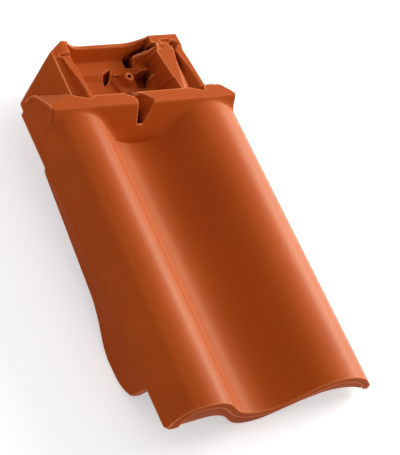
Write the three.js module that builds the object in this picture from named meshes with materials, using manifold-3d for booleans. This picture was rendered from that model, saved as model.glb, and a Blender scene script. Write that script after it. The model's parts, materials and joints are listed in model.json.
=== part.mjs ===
// A left verge roof tile for the course under the ridge: one pressed and fired clay piece.
// Millimetres. X runs across the tile from the verge lip, Y up the slope from the front edge,
// Z out of the roof surface. The lower outer edge of the verge lip is at X = 0, Z = 0.
import * as THREE from "three";
import * as BufferGeometryUtils from "three/addons/utils/BufferGeometryUtils.js";
import { ConvexGeometry } from "three/addons/geometries/ConvexGeometry.js";
import Module from "manifold-3d";

const wasm = await Module();
wasm.setup();

// ---- Overall sizes ----
const TILE_LENGTH = 449; // front edge to the rear edge of the head
const COVER_WIDTH = 254; // verge lip to the right cover edge
const PLATE_THICKNESS = 12; // fired clay of the rolls and the pan
const BAR_TOP_Z = 48; // flat top of the cross bar, the highest level
const ARC_STEP_DEG = 6; // how finely an arc is divided

// ---- Wave section: straight flanks joined by round crests and a round valley ----
const BEAD_X = 2; // bead beside the lip
const BEAD_Z = 18;
const FLANK_FOOT_X = 5.5; // the verge flank rises from here
const FLANK_FOOT_Z = 27.5;
const LEFT_CREST_X = 53.3; // where the two flanks of the left roll would meet
const LEFT_CREST_Z = 52.4;
const LEFT_CREST_RADIUS = 34;
const VALLEY_X = 114.9; // where the flanks of the valley would meet
const VALLEY_Z = -13.2;
const VALLEY_RADIUS = 46;
const RIGHT_CREST_INSET = 45.6; // where the flanks of the right roll would meet, from the edge
const RIGHT_CREST_Z = 69.1;
const RIGHT_CREST_RADIUS = 56;
const COVER_EDGE_TOP_Z = 17.8; // top corner of the right cover edge
const COVER_EDGE_FOOT_Z = 10.5; // lowest line of the right cover edge
const COVER_EDGE_LAND = 6; // flat foot of the cover edge

// ---- Verge lip and hanging flange ----
const LIP_FACE_HEIGHT = 12; // upright outer face of the lip
const LIP_GROOVE_DEPTH = 1.4; // small groove between the lip face and the bead
const LIP_FRONT_RISE = 3.5; // the lip is this much shallower at the front
const LIP_FRONT_LENGTH = 68;
const LIP_CORNER = 5; // the lower front corner of the lip is cut by this much
const LIP_END_REACH = 29.5; // the lip face runs this far behind the front of the bar
const FLANK_END_REACH = 34; // the same for the bead and the flank above the lip
const LIP_INNER_X = 14; // inner face of the lip and flange
const FLANGE_INSET = 2.2; // flange face behind the lip face
const FLANGE_FRONT_Y = 48;
const FLANGE_LOBE_Y = 106; // deepest place of the flange
const FLANGE_LOBE_DEPTH = 43;
const FLANGE_NECK_Y = 168; // where the lobe has run out into the shallow part
const FLANGE_NECK_DEPTH = 23;
const FLANGE_REAR_GAP = 30.5; // the flange ends this far before the front of the bar
const FLANGE_REAR_DEPTH = 8;

// ---- Front foot ----
const FOOT_RIB_WIDTH = 14; // the rib under the front edge, along Y
const FOOT_RIB_SETBACK = 1.2; // step in the front face under the plate
const FOOT_LEFT_Z = 4;
const FOOT_LEFT_CREST_X = 63.4;
const FOOT_LEFT_CREST_Z = 14.1;
const FOOT_LEFT_CREST_RADIUS = 36;
const FOOT_VALLEY_X = 109.7;
const FOOT_VALLEY_Z = -33.2;
const FOOT_VALLEY_RADIUS = 39;
const FOOT_RIGHT_CREST_INSET = 56.8; // from the cover edge
const FOOT_RIGHT_CREST_Z = 25.1;
const FOOT_RIGHT_CREST_RADIUS = 77;
const FOOT_COVER_EDGE_Z = 8.1;

// ---- Cross bar, ramp and notch ----
const HEAD_LENGTH = 90.5; // front edge of the bar to the rear edge of the tile
const BAR_WIDTH = 19; // flat top of the bar, along Y
const BAR_BACK_DIP = 3.5; // the back edge is this much further forward in the middle
const BAR_LEFT_X = 4.4;
const BAR_RIGHT_INSET = 11.6; // right end of the bar from the cover edge
const BAR_CORNER_CUT = 12.4; // right rear corner of the bar, across
const BAR_CORNER_CUT_Y = 10; // the same corner, along Y
const RAMP_SLOPE = 1.85; // rise over run of the ramp
const HIP_WIDTH = 25; // the left rear corner of the bar falls away along a hip
const HIP_START = 6.5; // the hip starts this far behind the front of the bar
const HIP_END_Z = 26.5; // level of the hip at the rear end of the flank
const HIP_FOOT_Z = 37.4; // level where the hip's inner end meets the shoulder
const HIP_FOOT_REACH = 32; // that place, behind the front of the bar
const BAR_FRONT_CHAMFER = 3; // left front corner of the bar
const NOTCH_LEFT_X = 113;
const NOTCH_TOP_WIDTH = 21;
const NOTCH_WALL_LEAN = 3; // the left wall of the notch leans this much
const NOTCH_FLOOR_WIDTH = 7.5;
const NOTCH_FLOOR_Z = 25.4;
const NOTCH_ROUNDING = 2.4; // lower corners of the notch
const NOTCH_SWEEP = 12; // the notch bends this much to the left through the bar

// ---- Head behind the bar ----
const HEAD_TOP_Z = 44; // top of the side rails
const HEAD_LEFT_X = 38.4; // outer line of the left rail
const HEAD_RIGHT_INSET = 44.2; // outer line of the right rail at the bar, from the cover edge
const HEAD_TAPER = 4.4; // the right rail leans in by this much towards the rear
const HEAD_CORNER_CUT = 16.5; // left rear corner, cut across
const HEAD_CORNER_CUT_Y = 11.5;
const SHOULDER_EDGE_Z = 17; // the sloping shoulder meets the lip here
const SHOULDER_REACH = 40.5; // its slanting rear edge meets the side this far behind the bar
const TROUGH_LEFT_SETBACK = 22; // left rail and groove together
const TROUGH_LEFT_RUN = 14; // slope of the trough's left wall
const TROUGH_RIGHT_SETBACK = 30.8; // right rail, groove and inner rail together, at the bar
const TROUGH_RIGHT_REAR_SETBACK = 33.6; // the same at the end block
const TROUGH_RIGHT_RUN = 20; // slope of the trough's right wall
const TROUGH_RIGHT_FACET_Z = 20; // the lower facet of the right wall ends here
const TROUGH_RIGHT_FACET_RUN = 8;
const TROUGH_RIGHT_REAR_SHARE = 0.45; // the right wall stands steeper towards the rear
const TROUGH_FLOOR_Z = 10;
const REAR_WALL_TOP = 5.5; // thickness of the rear wall at its rim
const REAR_WALL_FOOT = 15.5; // the same at the foot
const REAR_RIM_TOP_Z = 33.5; // the rim dips between the end blocks
const REAR_RIM_LEFT_RUN = 9; // width of the rise to the left end block
const REAR_RIM_RIGHT_RUN = 34; // width of the slow rise to the right end block
const BAND_HEIGHT = 7; // the raised bare band along the rear wall
const BAND_FRONT_SETBACK = 27; // its front edge from the rear edge of the tile
const BAND_SLOPE_RUN = 8.5; // slope down to the floor in front of the band
const BAND_RIGHT_GAP = 26; // the slope ends this far left of the boss
const TONGUE_SETBACK = 29.5; // the band comes further forward beside the boss
const TONGUE_LEFT_GAP = 14.5; // left edge of that tongue from the boss
const SEAT_HEIGHT = 4; // raised floor around the boss
const SEAT_CORNER = 11; // its left front corner runs aslant to the bar
const SEAT_CORNER_REACH = 6; // that corner starts this far before the middle of the boss
const POOL_WIDTH = 9; // half-round hollow between the slope and the seat
const POOL_LENGTH = 20;
const POOL_SETBACK = 32; // its middle from the rear edge of the tile
const POOL_DEPTH = 3;
const LEDGE_TOP_Z = 20; // ledge against the right wall of the trough
const LEDGE_LENGTH = 6.5;
const LEDGE_SETBACK = 29; // its front from the rear edge of the tile
const LEDGE_WIDTH = 18;
const SHELF_LEFT_REACH = 25; // the shelf behind the ledge, from the trough's right edge
const SHELF_FOLD_REACH = 12; // where its steeper part begins at the rear
const SHELF_RISE = 11; // how much higher it stands there
const WALL_SLOT_WIDTH = 4; // slots beside the ledge and beside the rear wall
const WALL_SLOT_DEPTH = 5;
const RAIL_GROOVE_DEPTH = 8;
const LEFT_RAIL_TOP = 1.2; // flat top of the outer left rail
const LEFT_GROOVE_FRONT = 19.4; // far edge of the left groove from the rail's outer line
const LEFT_GROOVE_REAR = 12;
const RIGHT_RAIL_FRONT = 3.3; // top width of the outer right rail
const RIGHT_RAIL_REAR = 8.6;
const RIGHT_GROOVE_FRONT = 22.6; // width of the right groove at the bar
const RIGHT_GROOVE_REAR = 1.5;
const GROOVE_DEEP_SHARE = 0.62; // the deepest line lies this far across a groove
const END_BLOCK_LENGTH = 19;
const END_BLOCK_RAISE = 1.2;
const LEFT_BLOCK_WIDTH = 25.6; // from the rail's outer line
const RIGHT_BLOCK_WIDTH = 37.5;
const POCKET_RADIUS = 4.2;
const POCKET_DEPTH = 7;
const SLOT_LENGTH = 13; // shallow slot that runs into the pocket
const SLOT_WIDTH = 3.6;
const SLOT_DEPTH = 2.2;

// ---- Nail boss ----
const BOSS_FROM_EDGE = 116.5; // from the right cover edge
const BOSS_SETBACK = 37.3; // from the rear edge of the tile
const BOSS_BASE_RADIUS = 11.5;
const BOSS_TOP_RADIUS = 5.6;
const BOSS_HEIGHT = 9; // above the raised floor around it
const NAIL_HOLE_RADIUS = 2.7;

// ---- Underside ----
const NIB_FOOT_Z = -22; // foot of the hanging nibs that hook over the batten
const NIB_LENGTH = 16;
const NIB_WIDTH = 34;
const NIB_SETBACK = 45; // face of the nibs from the rear edge of the tile
const LEFT_NIB_X = 98; // middle of the left nib
const RIGHT_NIB_INSET = 84; // middle of the right nib from the cover edge

// ---- Places that follow from the sizes above ----
const RIGHT_CREST_X = COVER_WIDTH - RIGHT_CREST_INSET;
const FOOT_RIGHT_CREST_X = COVER_WIDTH - FOOT_RIGHT_CREST_INSET;
const BAR_RIGHT_X = COVER_WIDTH - BAR_RIGHT_INSET;
const BAR_FRONT_Y = TILE_LENGTH - HEAD_LENGTH;
const BAR_BACK_Y = BAR_FRONT_Y + BAR_WIDTH;
const HIP_FRONT_Y = BAR_FRONT_Y + HIP_START;
const HIP_FOOT_Y = BAR_FRONT_Y + HIP_FOOT_REACH;
const LIP_END_Y = BAR_FRONT_Y + LIP_END_REACH;
const FLANK_END_Y = BAR_FRONT_Y + FLANK_END_REACH;
const FLANGE_REAR_Y = BAR_FRONT_Y - FLANGE_REAR_GAP;
const SHOULDER_SIDE_Y = BAR_FRONT_Y + SHOULDER_REACH;
const BAR_MIDDLE_BACK_Y = BAR_BACK_Y - BAR_BACK_DIP;
const HEAD_RIGHT_X = COVER_WIDTH - HEAD_RIGHT_INSET;
const HEAD_REAR_RIGHT_X = HEAD_RIGHT_X - HEAD_TAPER;
const SHOULDER_REAR_Y = TILE_LENGTH - HEAD_CORNER_CUT_Y;
const TROUGH_LEFT_X = HEAD_LEFT_X + TROUGH_LEFT_SETBACK;
const TROUGH_RIGHT_X = HEAD_RIGHT_X - TROUGH_RIGHT_SETBACK;
const TROUGH_REAR_RIGHT_X = HEAD_REAR_RIGHT_X - TROUGH_RIGHT_REAR_SETBACK;
const END_BLOCK_FRONT_Y = TILE_LENGTH - END_BLOCK_LENGTH;
const BOSS_X = COVER_WIDTH - BOSS_FROM_EDGE;
const BOSS_Y = TILE_LENGTH - BOSS_SETBACK;
const BAND_TOP_Z = TROUGH_FLOOR_Z + BAND_HEIGHT;
const BAND_FRONT_Y = TILE_LENGTH - BAND_FRONT_SETBACK;
const SEAT_TOP_Z = TROUGH_FLOOR_Z + SEAT_HEIGHT;
const LEDGE_FRONT_Y = TILE_LENGTH - LEDGE_SETBACK;
const NIB_FRONT_Y = TILE_LENGTH - NIB_SETBACK;
const NIB_CENTRES_X = [LEFT_NIB_X, COVER_WIDTH - RIGHT_NIB_INSET];

const CLAY_COLOUR = 0xb5501f;

// ---- Helpers ----
function solid(geometry) {
  geometry.deleteAttribute("normal");
  geometry.deleteAttribute("uv");
  const merged = BufferGeometryUtils.mergeVertices(geometry, 1e-4);
  const mesh = new wasm.Mesh({
    numProp: 3,
    vertProperties: merged.attributes.position.array,
    triVerts: new Uint32Array(merged.index.array),
  });
  return new wasm.Manifold(mesh);
}

function shapeOf(points) {
  return new THREE.Shape(points.map(([a, b]) => new THREE.Vector2(a, b)));
}

// A section in (X, Z) drawn out along Y from y0 to y1.
function alongY(points, y0, y1) {
  const options = { depth: y1 - y0, bevelEnabled: false };
  const geometry = new THREE.ExtrudeGeometry(shapeOf(points), options);
  geometry.rotateX(Math.PI / 2);
  geometry.translate(0, y1, 0);
  return solid(geometry);
}

// A section in (Y, Z) drawn out along X from x0 to x1.
function alongX(points, x0, x1) {
  const options = { depth: x1 - x0, bevelEnabled: false };
  const geometry = new THREE.ExtrudeGeometry(shapeOf(points), options);
  const turn = new THREE.Matrix4();
  const y = new THREE.Vector3(0, 1, 0);
  const z = new THREE.Vector3(0, 0, 1);
  const x = new THREE.Vector3(1, 0, 0);
  turn.makeBasis(y, z, x);
  geometry.applyMatrix4(turn);
  geometry.translate(x0, 0, 0);
  return solid(geometry);
}

// An outline in (X, Y) drawn up from z0 to z1.
function upright(points, z0, z1) {
  const options = { depth: z1 - z0, bevelEnabled: false };
  const geometry = new THREE.ExtrudeGeometry(shapeOf(points), options);
  geometry.translate(0, 0, z0);
  return solid(geometry);
}

function block(x0, x1, y0, y1, z0, z1) {
  const geometry = new THREE.BoxGeometry(x1 - x0, y1 - y0, z1 - z0);
  geometry.translate((x0 + x1) / 2, (y0 + y1) / 2, (z0 + z1) / 2);
  return solid(geometry);
}

// A round post or cone on the vertical line through (x, y).
function post(x, y, z0, z1, lowRadius, highRadius) {
  const geometry = new THREE.CylinderGeometry(highRadius, lowRadius, z1 - z0, 28);
  geometry.rotateX(Math.PI / 2);
  geometry.translate(x, y, (z0 + z1) / 2);
  return solid(geometry);
}

// The flat-faced body that just encloses the given points.
function faceted(points) {
  return solid(new ConvexGeometry(points.map((p) => new THREE.Vector3(p[0], p[1], p[2]))));
}

// The same list of [x, z] points at two places along Y, enclosed as one body.
function facetedAlongY(front, y0, rear, y1) {
  const nearby = front.map(([x, z]) => [x, y0, z]);
  const far = rear.map(([x, z]) => [x, y1, z]);
  return faceted([...nearby, ...far]);
}

// Corners [a, b, radius] joined by straight lines, each corner rounded to its radius.
// With an offset the whole line moves sideways by that much, to its right when positive,
// and its arcs keep their centres.
function roundedLine(corners, offset = 0) {
  const points = [];
  for (let i = 0; i < corners.length; i += 1) {
    const here = new THREE.Vector2(corners[i][0], corners[i][1]);
    const before = i > 0 ? corners[i - 1] : null;
    const after = i < corners.length - 1 ? corners[i + 1] : null;
    const arriving = new THREE.Vector2();
    const leaving = new THREE.Vector2();
    if (before) arriving.set(here.x - before[0], here.y - before[1]).normalize();
    if (after) leaving.set(after[0] - here.x, after[1] - here.y).normalize();
    if (!before) arriving.copy(leaving);
    if (!after) leaving.copy(arriving);
    const turn = Math.atan2(arriving.cross(leaving), arriving.dot(leaving));
    const radius = corners[i][2] ?? 0;
    const toBend = radius * Math.tan(Math.abs(turn) / 2);
    const side = Math.sign(turn) || 1;
    const start = here.clone().addScaledVector(arriving, -toBend);
    const normal = new THREE.Vector2(-arriving.y, arriving.x);
    const centre = start.clone().addScaledVector(normal, side * radius);
    const steps = radius ? Math.max(1, Math.ceil(Math.abs(turn) / (ARC_STEP_DEG * Math.PI / 180))) : 0;
    if (!steps) {
      const middle = normal.clone().rotateAround(new THREE.Vector2(), turn / 2);
      const reach = offset / Math.cos(turn / 2);
      points.push([here.x - middle.x * reach, here.y - middle.y * reach]);
      continue;
    }
    const spoke = start.clone().sub(centre);
    const stretch = 1 + (side * offset) / radius;
    for (let k = 0; k <= steps; k += 1) {
      const at = spoke.clone().rotateAround(new THREE.Vector2(), (turn * k) / steps);
      points.push([centre.x + at.x * stretch, centre.y + at.y * stretch]);
    }
  }
  return points;
}

// ---- Sections ----
function waveCorners() {
  return [
    [FLANK_FOOT_X, FLANK_FOOT_Z],
    [LEFT_CREST_X, LEFT_CREST_Z, LEFT_CREST_RADIUS],
    [VALLEY_X, VALLEY_Z, VALLEY_RADIUS],
    [RIGHT_CREST_X, RIGHT_CREST_Z, RIGHT_CREST_RADIUS],
    [COVER_WIDTH, COVER_EDGE_TOP_Z],
  ];
}

// The outer side of the verge: lip face, groove, bead and the foot of the flank.
function vergeSide(lipFoot) {
  return [
    [0, lipFoot],
    [0, LIP_FACE_HEIGHT],
    [LIP_GROOVE_DEPTH, LIP_FACE_HEIGHT + LIP_GROOVE_DEPTH],
    [LIP_GROOVE_DEPTH / 2, LIP_FACE_HEIGHT + 2 * LIP_GROOVE_DEPTH],
    [BEAD_X, BEAD_Z],
  ];
}

// The closed section of the wavy plate with its lip, outer side first, then the underside back.
function plateSection(lipFoot) {
  const top = roundedLine(waveCorners());
  const under = roundedLine(waveCorners(), PLATE_THICKNESS);
  const inner = under.filter(([x]) => x > LIP_INNER_X && x < COVER_WIDTH - COVER_EDGE_LAND / 2);
  inner.reverse();
  return [
    ...vergeSide(lipFoot),
    ...top,
    [COVER_WIDTH, COVER_EDGE_FOOT_Z],
    [COVER_WIDTH - COVER_EDGE_LAND, COVER_EDGE_FOOT_Z],
    ...inner,
    [LIP_INNER_X, inner[inner.length - 1][1] - 4],
    [LIP_INNER_X, lipFoot],
  ];
}

function footCorners() {
  return [
    [LIP_INNER_X, FOOT_LEFT_Z],
    [FOOT_LEFT_CREST_X, FOOT_LEFT_CREST_Z, FOOT_LEFT_CREST_RADIUS],
    [FOOT_VALLEY_X, FOOT_VALLEY_Z, FOOT_VALLEY_RADIUS],
    [FOOT_RIGHT_CREST_X, FOOT_RIGHT_CREST_Z, FOOT_RIGHT_CREST_RADIUS],
    [COVER_WIDTH, FOOT_COVER_EDGE_Z],
  ];
}

// ---- Sub-parts ----
function wavyPlate() {
  const front = alongY(plateSection(LIP_FRONT_RISE), 0, LIP_FRONT_LENGTH);
  const rest = alongY(plateSection(0), LIP_FRONT_LENGTH, BAR_MIDDLE_BACK_Y);
  return front.add(rest).subtract(lipCorner());
}

// The wedge cut from the lower front corner of the lip.
function lipCorner() {
  const outline = [
    [-1, LIP_FRONT_RISE + LIP_CORNER + 1],
    [-1, -1],
    [LIP_CORNER, -1],
    [LIP_CORNER, LIP_FRONT_RISE],
  ];
  return alongX(outline, -1, LIP_INNER_X + 1);
}

function frontFoot() {
  const top = roundedLine(waveCorners(), 1);
  const bottom = roundedLine(footCorners());
  bottom.reverse();
  const section = [...top, ...bottom, [FLANK_FOOT_X, FOOT_LEFT_Z + LIP_CORNER]];
  return alongY(section, FOOT_RIB_SETBACK, FOOT_RIB_SETBACK + FOOT_RIB_WIDTH);
}

// The flange under the lip: shallow at the rear, with a deep lobe near the front.
function flange() {
  const outline = [
    [FLANGE_FRONT_Y, 4],
    [FLANGE_FRONT_Y + 9, -FLANGE_LOBE_DEPTH * 0.7],
    [FLANGE_LOBE_Y - 22, -FLANGE_LOBE_DEPTH + 2],
    [FLANGE_LOBE_Y, -FLANGE_LOBE_DEPTH],
    [FLANGE_LOBE_Y + 22, -FLANGE_LOBE_DEPTH + 6],
    [FLANGE_NECK_Y - 20, -FLANGE_NECK_DEPTH - 6],
    [FLANGE_NECK_Y, -FLANGE_NECK_DEPTH],
    [FLANGE_REAR_Y - 8, -FLANGE_REAR_DEPTH],
    [FLANGE_REAR_Y, 4],
  ];
  return alongX(outline, FLANGE_INSET, LIP_INNER_X);
}

// The bar with its ramp. Its back edge is a little further forward in the middle.
function crossBar() {
  const drop = BAR_TOP_Z + 12;
  const section = [
    [BAR_FRONT_Y, BAR_TOP_Z],
    [BAR_FRONT_Y - drop / RAMP_SLOPE, BAR_TOP_Z - drop],
    [BAR_BACK_Y + 1, BAR_TOP_Z - drop],
    [BAR_BACK_Y + 1, BAR_TOP_Z],
  ];
  const dam = alongX(section, BAR_LEFT_X, BAR_RIGHT_X);
  const outline = [
    [BAR_LEFT_X + BAR_FRONT_CHAMFER, 0],
    [BAR_RIGHT_X + 1, 0],
    [BAR_RIGHT_X + 1, BAR_BACK_Y - BAR_CORNER_CUT_Y - 2],
    [BAR_RIGHT_X - BAR_CORNER_CUT, BAR_BACK_Y - 1],
    [HEAD_RIGHT_X, BAR_BACK_Y - 1],
    [BOSS_X, BAR_MIDDLE_BACK_Y],
    [HEAD_LEFT_X, BAR_BACK_Y],
    [BAR_LEFT_X + HIP_WIDTH, BAR_BACK_Y],
    [BAR_LEFT_X, HIP_FRONT_Y],
    [BAR_LEFT_X, BAR_FRONT_Y + BAR_FRONT_CHAMFER],
    [BAR_LEFT_X + BAR_FRONT_CHAMFER, BAR_FRONT_Y],
  ];
  return dam.intersect(upright(outline, -60, 60)).intersect(aboveUnderside());
}

// The left rear corner of the bar, falling away behind its top along a hip.
function barHip() {
  const inner = BAR_LEFT_X + HIP_WIDTH;
  return faceted([
    [BAR_LEFT_X, BAR_FRONT_Y + BAR_FRONT_CHAMFER, BAR_TOP_Z],
    [inner, BAR_FRONT_Y + BAR_FRONT_CHAMFER, BAR_TOP_Z],
    [inner, BAR_BACK_Y, BAR_TOP_Z],
    [BAR_LEFT_X, HIP_FRONT_Y, BAR_TOP_Z],
    [BAR_LEFT_X, FLANK_END_Y, HIP_END_Z],
    [inner, HIP_FOOT_Y, HIP_FOOT_Z],
    [BAR_LEFT_X, FLANK_END_Y, HIP_END_Z - 14],
    [inner, HIP_FOOT_Y, HIP_FOOT_Z - 8],
    [BAR_LEFT_X, BAR_FRONT_Y + BAR_FRONT_CHAMFER, HIP_END_Z - 14],
    [inner, BAR_FRONT_Y + BAR_FRONT_CHAMFER, HIP_FOOT_Z - 8],
  ]);
}

// Everything above the underside of the wavy plate, out to its sides.
function aboveUnderside() {
  const under = roundedLine(waveCorners(), PLATE_THICKNESS);
  const section = [
    ...under.filter(([x]) => x > LIP_INNER_X && x < COVER_WIDTH - COVER_EDGE_LAND / 2),
    [COVER_WIDTH, COVER_EDGE_FOOT_Z],
    [COVER_WIDTH, 70],
    [0, 70],
    [0, 6],
    [LIP_INNER_X, 6],
  ];
  return alongY(section, -1, TILE_LENGTH + 1);
}

// The notch through ramp and bar: a steep left wall, a slanting right wall and a rounded
// floor, bending to the left on its way through the bar.
function notch() {
  const top = BAR_TOP_Z + 6;
  const floorLeft = NOTCH_LEFT_X + NOTCH_WALL_LEAN;
  const section = (shift) => [
    [NOTCH_LEFT_X + shift, top],
    [floorLeft + shift, NOTCH_FLOOR_Z + NOTCH_ROUNDING],
    [floorLeft + NOTCH_ROUNDING + shift, NOTCH_FLOOR_Z],
    [floorLeft + NOTCH_FLOOR_WIDTH - NOTCH_ROUNDING + shift, NOTCH_FLOOR_Z],
    [floorLeft + NOTCH_FLOOR_WIDTH + shift, NOTCH_FLOOR_Z + NOTCH_ROUNDING],
    [NOTCH_LEFT_X + NOTCH_TOP_WIDTH + shift, BAR_TOP_Z],
    [NOTCH_LEFT_X + NOTCH_TOP_WIDTH + shift, top],
  ];
  const through = BAR_MIDDLE_BACK_Y - BAR_FRONT_Y;
  const stations = [
    [BAR_FRONT_Y - 30, 0],
    [BAR_FRONT_Y + 1, 0],
    [BAR_FRONT_Y + through * 0.5, -NOTCH_SWEEP * 0.2],
    [BAR_FRONT_Y + through * 0.8, -NOTCH_SWEEP * 0.6],
    [BAR_MIDDLE_BACK_Y + 3, -NOTCH_SWEEP * 1.35],
  ];
  let cut = null;
  for (let i = 0; i < stations.length - 1; i += 1) {
    const [y0, shift0] = stations[i];
    const [y1, shift1] = stations[i + 1];
    const piece = facetedAlongY(section(shift0), y0, section(shift1), y1);
    cut = cut ? cut.add(piece) : piece;
  }
  return cut;
}

// The sloping shoulder outside the left rail, its rear edge cut aslant.
function shoulder() {
  const section = [
    [0, SHOULDER_EDGE_Z],
    [HEAD_LEFT_X + 1, HEAD_TOP_Z],
    [HEAD_LEFT_X + 1, HEAD_TOP_Z - 16],
    [LIP_INNER_X, 6],
    [0, 6],
  ];
  const slab = alongY(section, BAR_MIDDLE_BACK_Y - 6, SHOULDER_REAR_Y + 1);
  const outline = [
    [-1, BAR_MIDDLE_BACK_Y - 8],
    [HEAD_LEFT_X + 2, BAR_MIDDLE_BACK_Y - 8],
    [HEAD_LEFT_X + 2, SHOULDER_REAR_Y + 1],
    [0, SHOULDER_SIDE_Y],
    [-1, SHOULDER_SIDE_Y],
  ];
  return slab.intersect(upright(outline, -20, 60));
}

// The lip, the bead and the foot of the flank carried on behind the bar.
function verge() {
  const lip = [[0, 0], [0, LIP_FACE_HEIGHT], [LIP_INNER_X, LIP_FACE_HEIGHT], [LIP_INNER_X, 0]];
  const flank = [
    ...vergeSide(LIP_FACE_HEIGHT - 1),
    [BAR_LEFT_X, HIP_END_Z],
    [LIP_INNER_X, HIP_END_Z],
    [LIP_INNER_X, LIP_FACE_HEIGHT - 1],
  ];
  const start = BAR_MIDDLE_BACK_Y - 2;
  return alongY(lip, start, LIP_END_Y).add(alongY(flank, start, FLANK_END_Y));
}

function headBody() {
  const outline = [
    [HEAD_LEFT_X, BAR_MIDDLE_BACK_Y - 4],
    [HEAD_RIGHT_X, BAR_MIDDLE_BACK_Y - 4],
    [HEAD_REAR_RIGHT_X, TILE_LENGTH],
    [HEAD_LEFT_X + HEAD_CORNER_CUT, TILE_LENGTH],
    [HEAD_LEFT_X, SHOULDER_REAR_Y],
  ];
  const body = upright(outline, -30, HEAD_TOP_Z);
  return body.intersect(aboveHeadUnderside());
}

// The underside of the head follows the trough at the plate's thickness.
function aboveHeadUnderside() {
  const under = roundedLine(troughCorners(), PLATE_THICKNESS);
  const section = [...under, [HEAD_RIGHT_X + 2, 70], [HEAD_LEFT_X - 2, 70]];
  return alongY(section, BAR_MIDDLE_BACK_Y - 6, TILE_LENGTH + 1);
}

function troughCorners() {
  const low = HEAD_TOP_Z - RAIL_GROOVE_DEPTH;
  return [
    [HEAD_LEFT_X - 2, low],
    [TROUGH_LEFT_X, low],
    [TROUGH_LEFT_X + TROUGH_LEFT_RUN, TROUGH_FLOOR_Z, 6],
    [TROUGH_RIGHT_X - TROUGH_RIGHT_RUN, TROUGH_FLOOR_Z, 6],
    [TROUGH_RIGHT_X, low],
    [HEAD_RIGHT_X + 2, low],
  ];
}

// The section of the hollow in the head, with its right edge and the slope beside it.
function troughSection(right, share) {
  const foot = right - TROUGH_RIGHT_RUN * share;
  return [
    [TROUGH_LEFT_X, HEAD_TOP_Z + 6],
    [TROUGH_LEFT_X, HEAD_TOP_Z],
    [TROUGH_LEFT_X + TROUGH_LEFT_RUN, TROUGH_FLOOR_Z],
    [foot, TROUGH_FLOOR_Z],
    [foot + TROUGH_RIGHT_FACET_RUN * share, TROUGH_RIGHT_FACET_Z],
    [right, HEAD_TOP_Z],
    [right, HEAD_TOP_Z + 6],
  ];
}

// The hollow of the head, narrower towards the rear, with a sloping rear wall.
function trough() {
  const far = TILE_LENGTH - REAR_WALL_FOOT + 20;
  const front = troughSection(TROUGH_RIGHT_X, 1);
  const shift = (TROUGH_REAR_RIGHT_X - TROUGH_RIGHT_X) / (END_BLOCK_FRONT_Y - BAR_MIDDLE_BACK_Y);
  const farRight = TROUGH_RIGHT_X + shift * (far - BAR_MIDDLE_BACK_Y);
  const rear = troughSection(farRight, TROUGH_RIGHT_REAR_SHARE);
  const hollow = facetedAlongY(front, BAR_MIDDLE_BACK_Y, rear, far);
  const rearWall = alongX(
    [
      [TILE_LENGTH - REAR_WALL_TOP, HEAD_TOP_Z + 7],
      [TILE_LENGTH - REAR_WALL_TOP, REAR_RIM_TOP_Z],
      [TILE_LENGTH - REAR_WALL_FOOT, TROUGH_FLOOR_Z - 1],
      [far + 1, TROUGH_FLOOR_Z - 1],
      [far + 1, HEAD_TOP_Z + 7],
    ],
    0,
    COVER_WIDTH,
  );
  return hollow.subtract(rearWall);
}

// The raised floor around the nail boss, its left front corner running aslant to the bar.
function bossSeat(low) {
  const left = BOSS_X - TONGUE_LEFT_GAP;
  const right = TROUGH_REAR_RIGHT_X - 2;
  const corner = BOSS_Y - SEAT_CORNER_REACH;
  const outline = (grow) => [
    [left - grow, BAND_FRONT_Y + 6],
    [left - grow, corner + 4],
    [left + SEAT_CORNER - grow, corner - SEAT_CORNER],
    [left + SEAT_CORNER - grow, BAR_MIDDLE_BACK_Y - 1],
    [right, BAR_MIDDLE_BACK_Y - 1],
    [right, BAND_FRONT_Y + 6],
  ];
  const foot = outline(SEAT_HEIGHT).map(([x, y]) => [x, y, TROUGH_FLOOR_Z]);
  const sunk = outline(SEAT_HEIGHT).map(([x, y]) => [x, y, low]);
  const top = outline(0).map(([x, y]) => [x, y, SEAT_TOP_Z]);
  return faceted([...foot, ...sunk, ...top]);
}

// The shelf behind the ledge, rising towards its rear right corner.
function shelf() {
  const right = TROUGH_REAR_RIGHT_X + 3;
  const left = right - SHELF_LEFT_REACH;
  const fold = right - SHELF_FOLD_REACH;
  const front = LEDGE_FRONT_Y + LEDGE_LENGTH;
  const rear = TILE_LENGTH - REAR_WALL_FOOT + 0.5;
  const low = TROUGH_FLOOR_Z;
  return faceted([
    [left, front, low],
    [left, front, LEDGE_TOP_Z],
    [fold + 4, front, LEDGE_TOP_Z + SHELF_RISE * 0.4],
    [right, front, LEDGE_TOP_Z + SHELF_RISE * 0.7],
    [right, front, low],
    [left, rear, low],
    [left, rear, LEDGE_TOP_Z],
    [fold, rear, LEDGE_TOP_Z + SHELF_RISE],
    [right, rear, LEDGE_TOP_Z + SHELF_RISE * 1.8],
    [right, rear, low],
  ]);
}

// The deep slot between the shelf and the rear wall.
function rearSlot() {
  const left = TROUGH_REAR_RIGHT_X - SHELF_LEFT_REACH - WALL_SLOT_WIDTH;
  const right = TROUGH_REAR_RIGHT_X - 1;
  const front = TILE_LENGTH - REAR_WALL_FOOT + 1;
  const deep = TROUGH_FLOOR_Z - POOL_DEPTH;
  return faceted([
    [left, front - 2, deep],
    [left, front + WALL_SLOT_WIDTH, deep],
    [left, front - 2, HEAD_TOP_Z],
    [left, front + WALL_SLOT_WIDTH, HEAD_TOP_Z],
    [right, front, REAR_RIM_TOP_Z - WALL_SLOT_DEPTH],
    [right, front + WALL_SLOT_WIDTH, REAR_RIM_TOP_Z - WALL_SLOT_DEPTH],
    [right, front, HEAD_TOP_Z + 1],
    [right, front + WALL_SLOT_WIDTH * 1.5, HEAD_TOP_Z + 1],
  ]);
}

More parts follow.
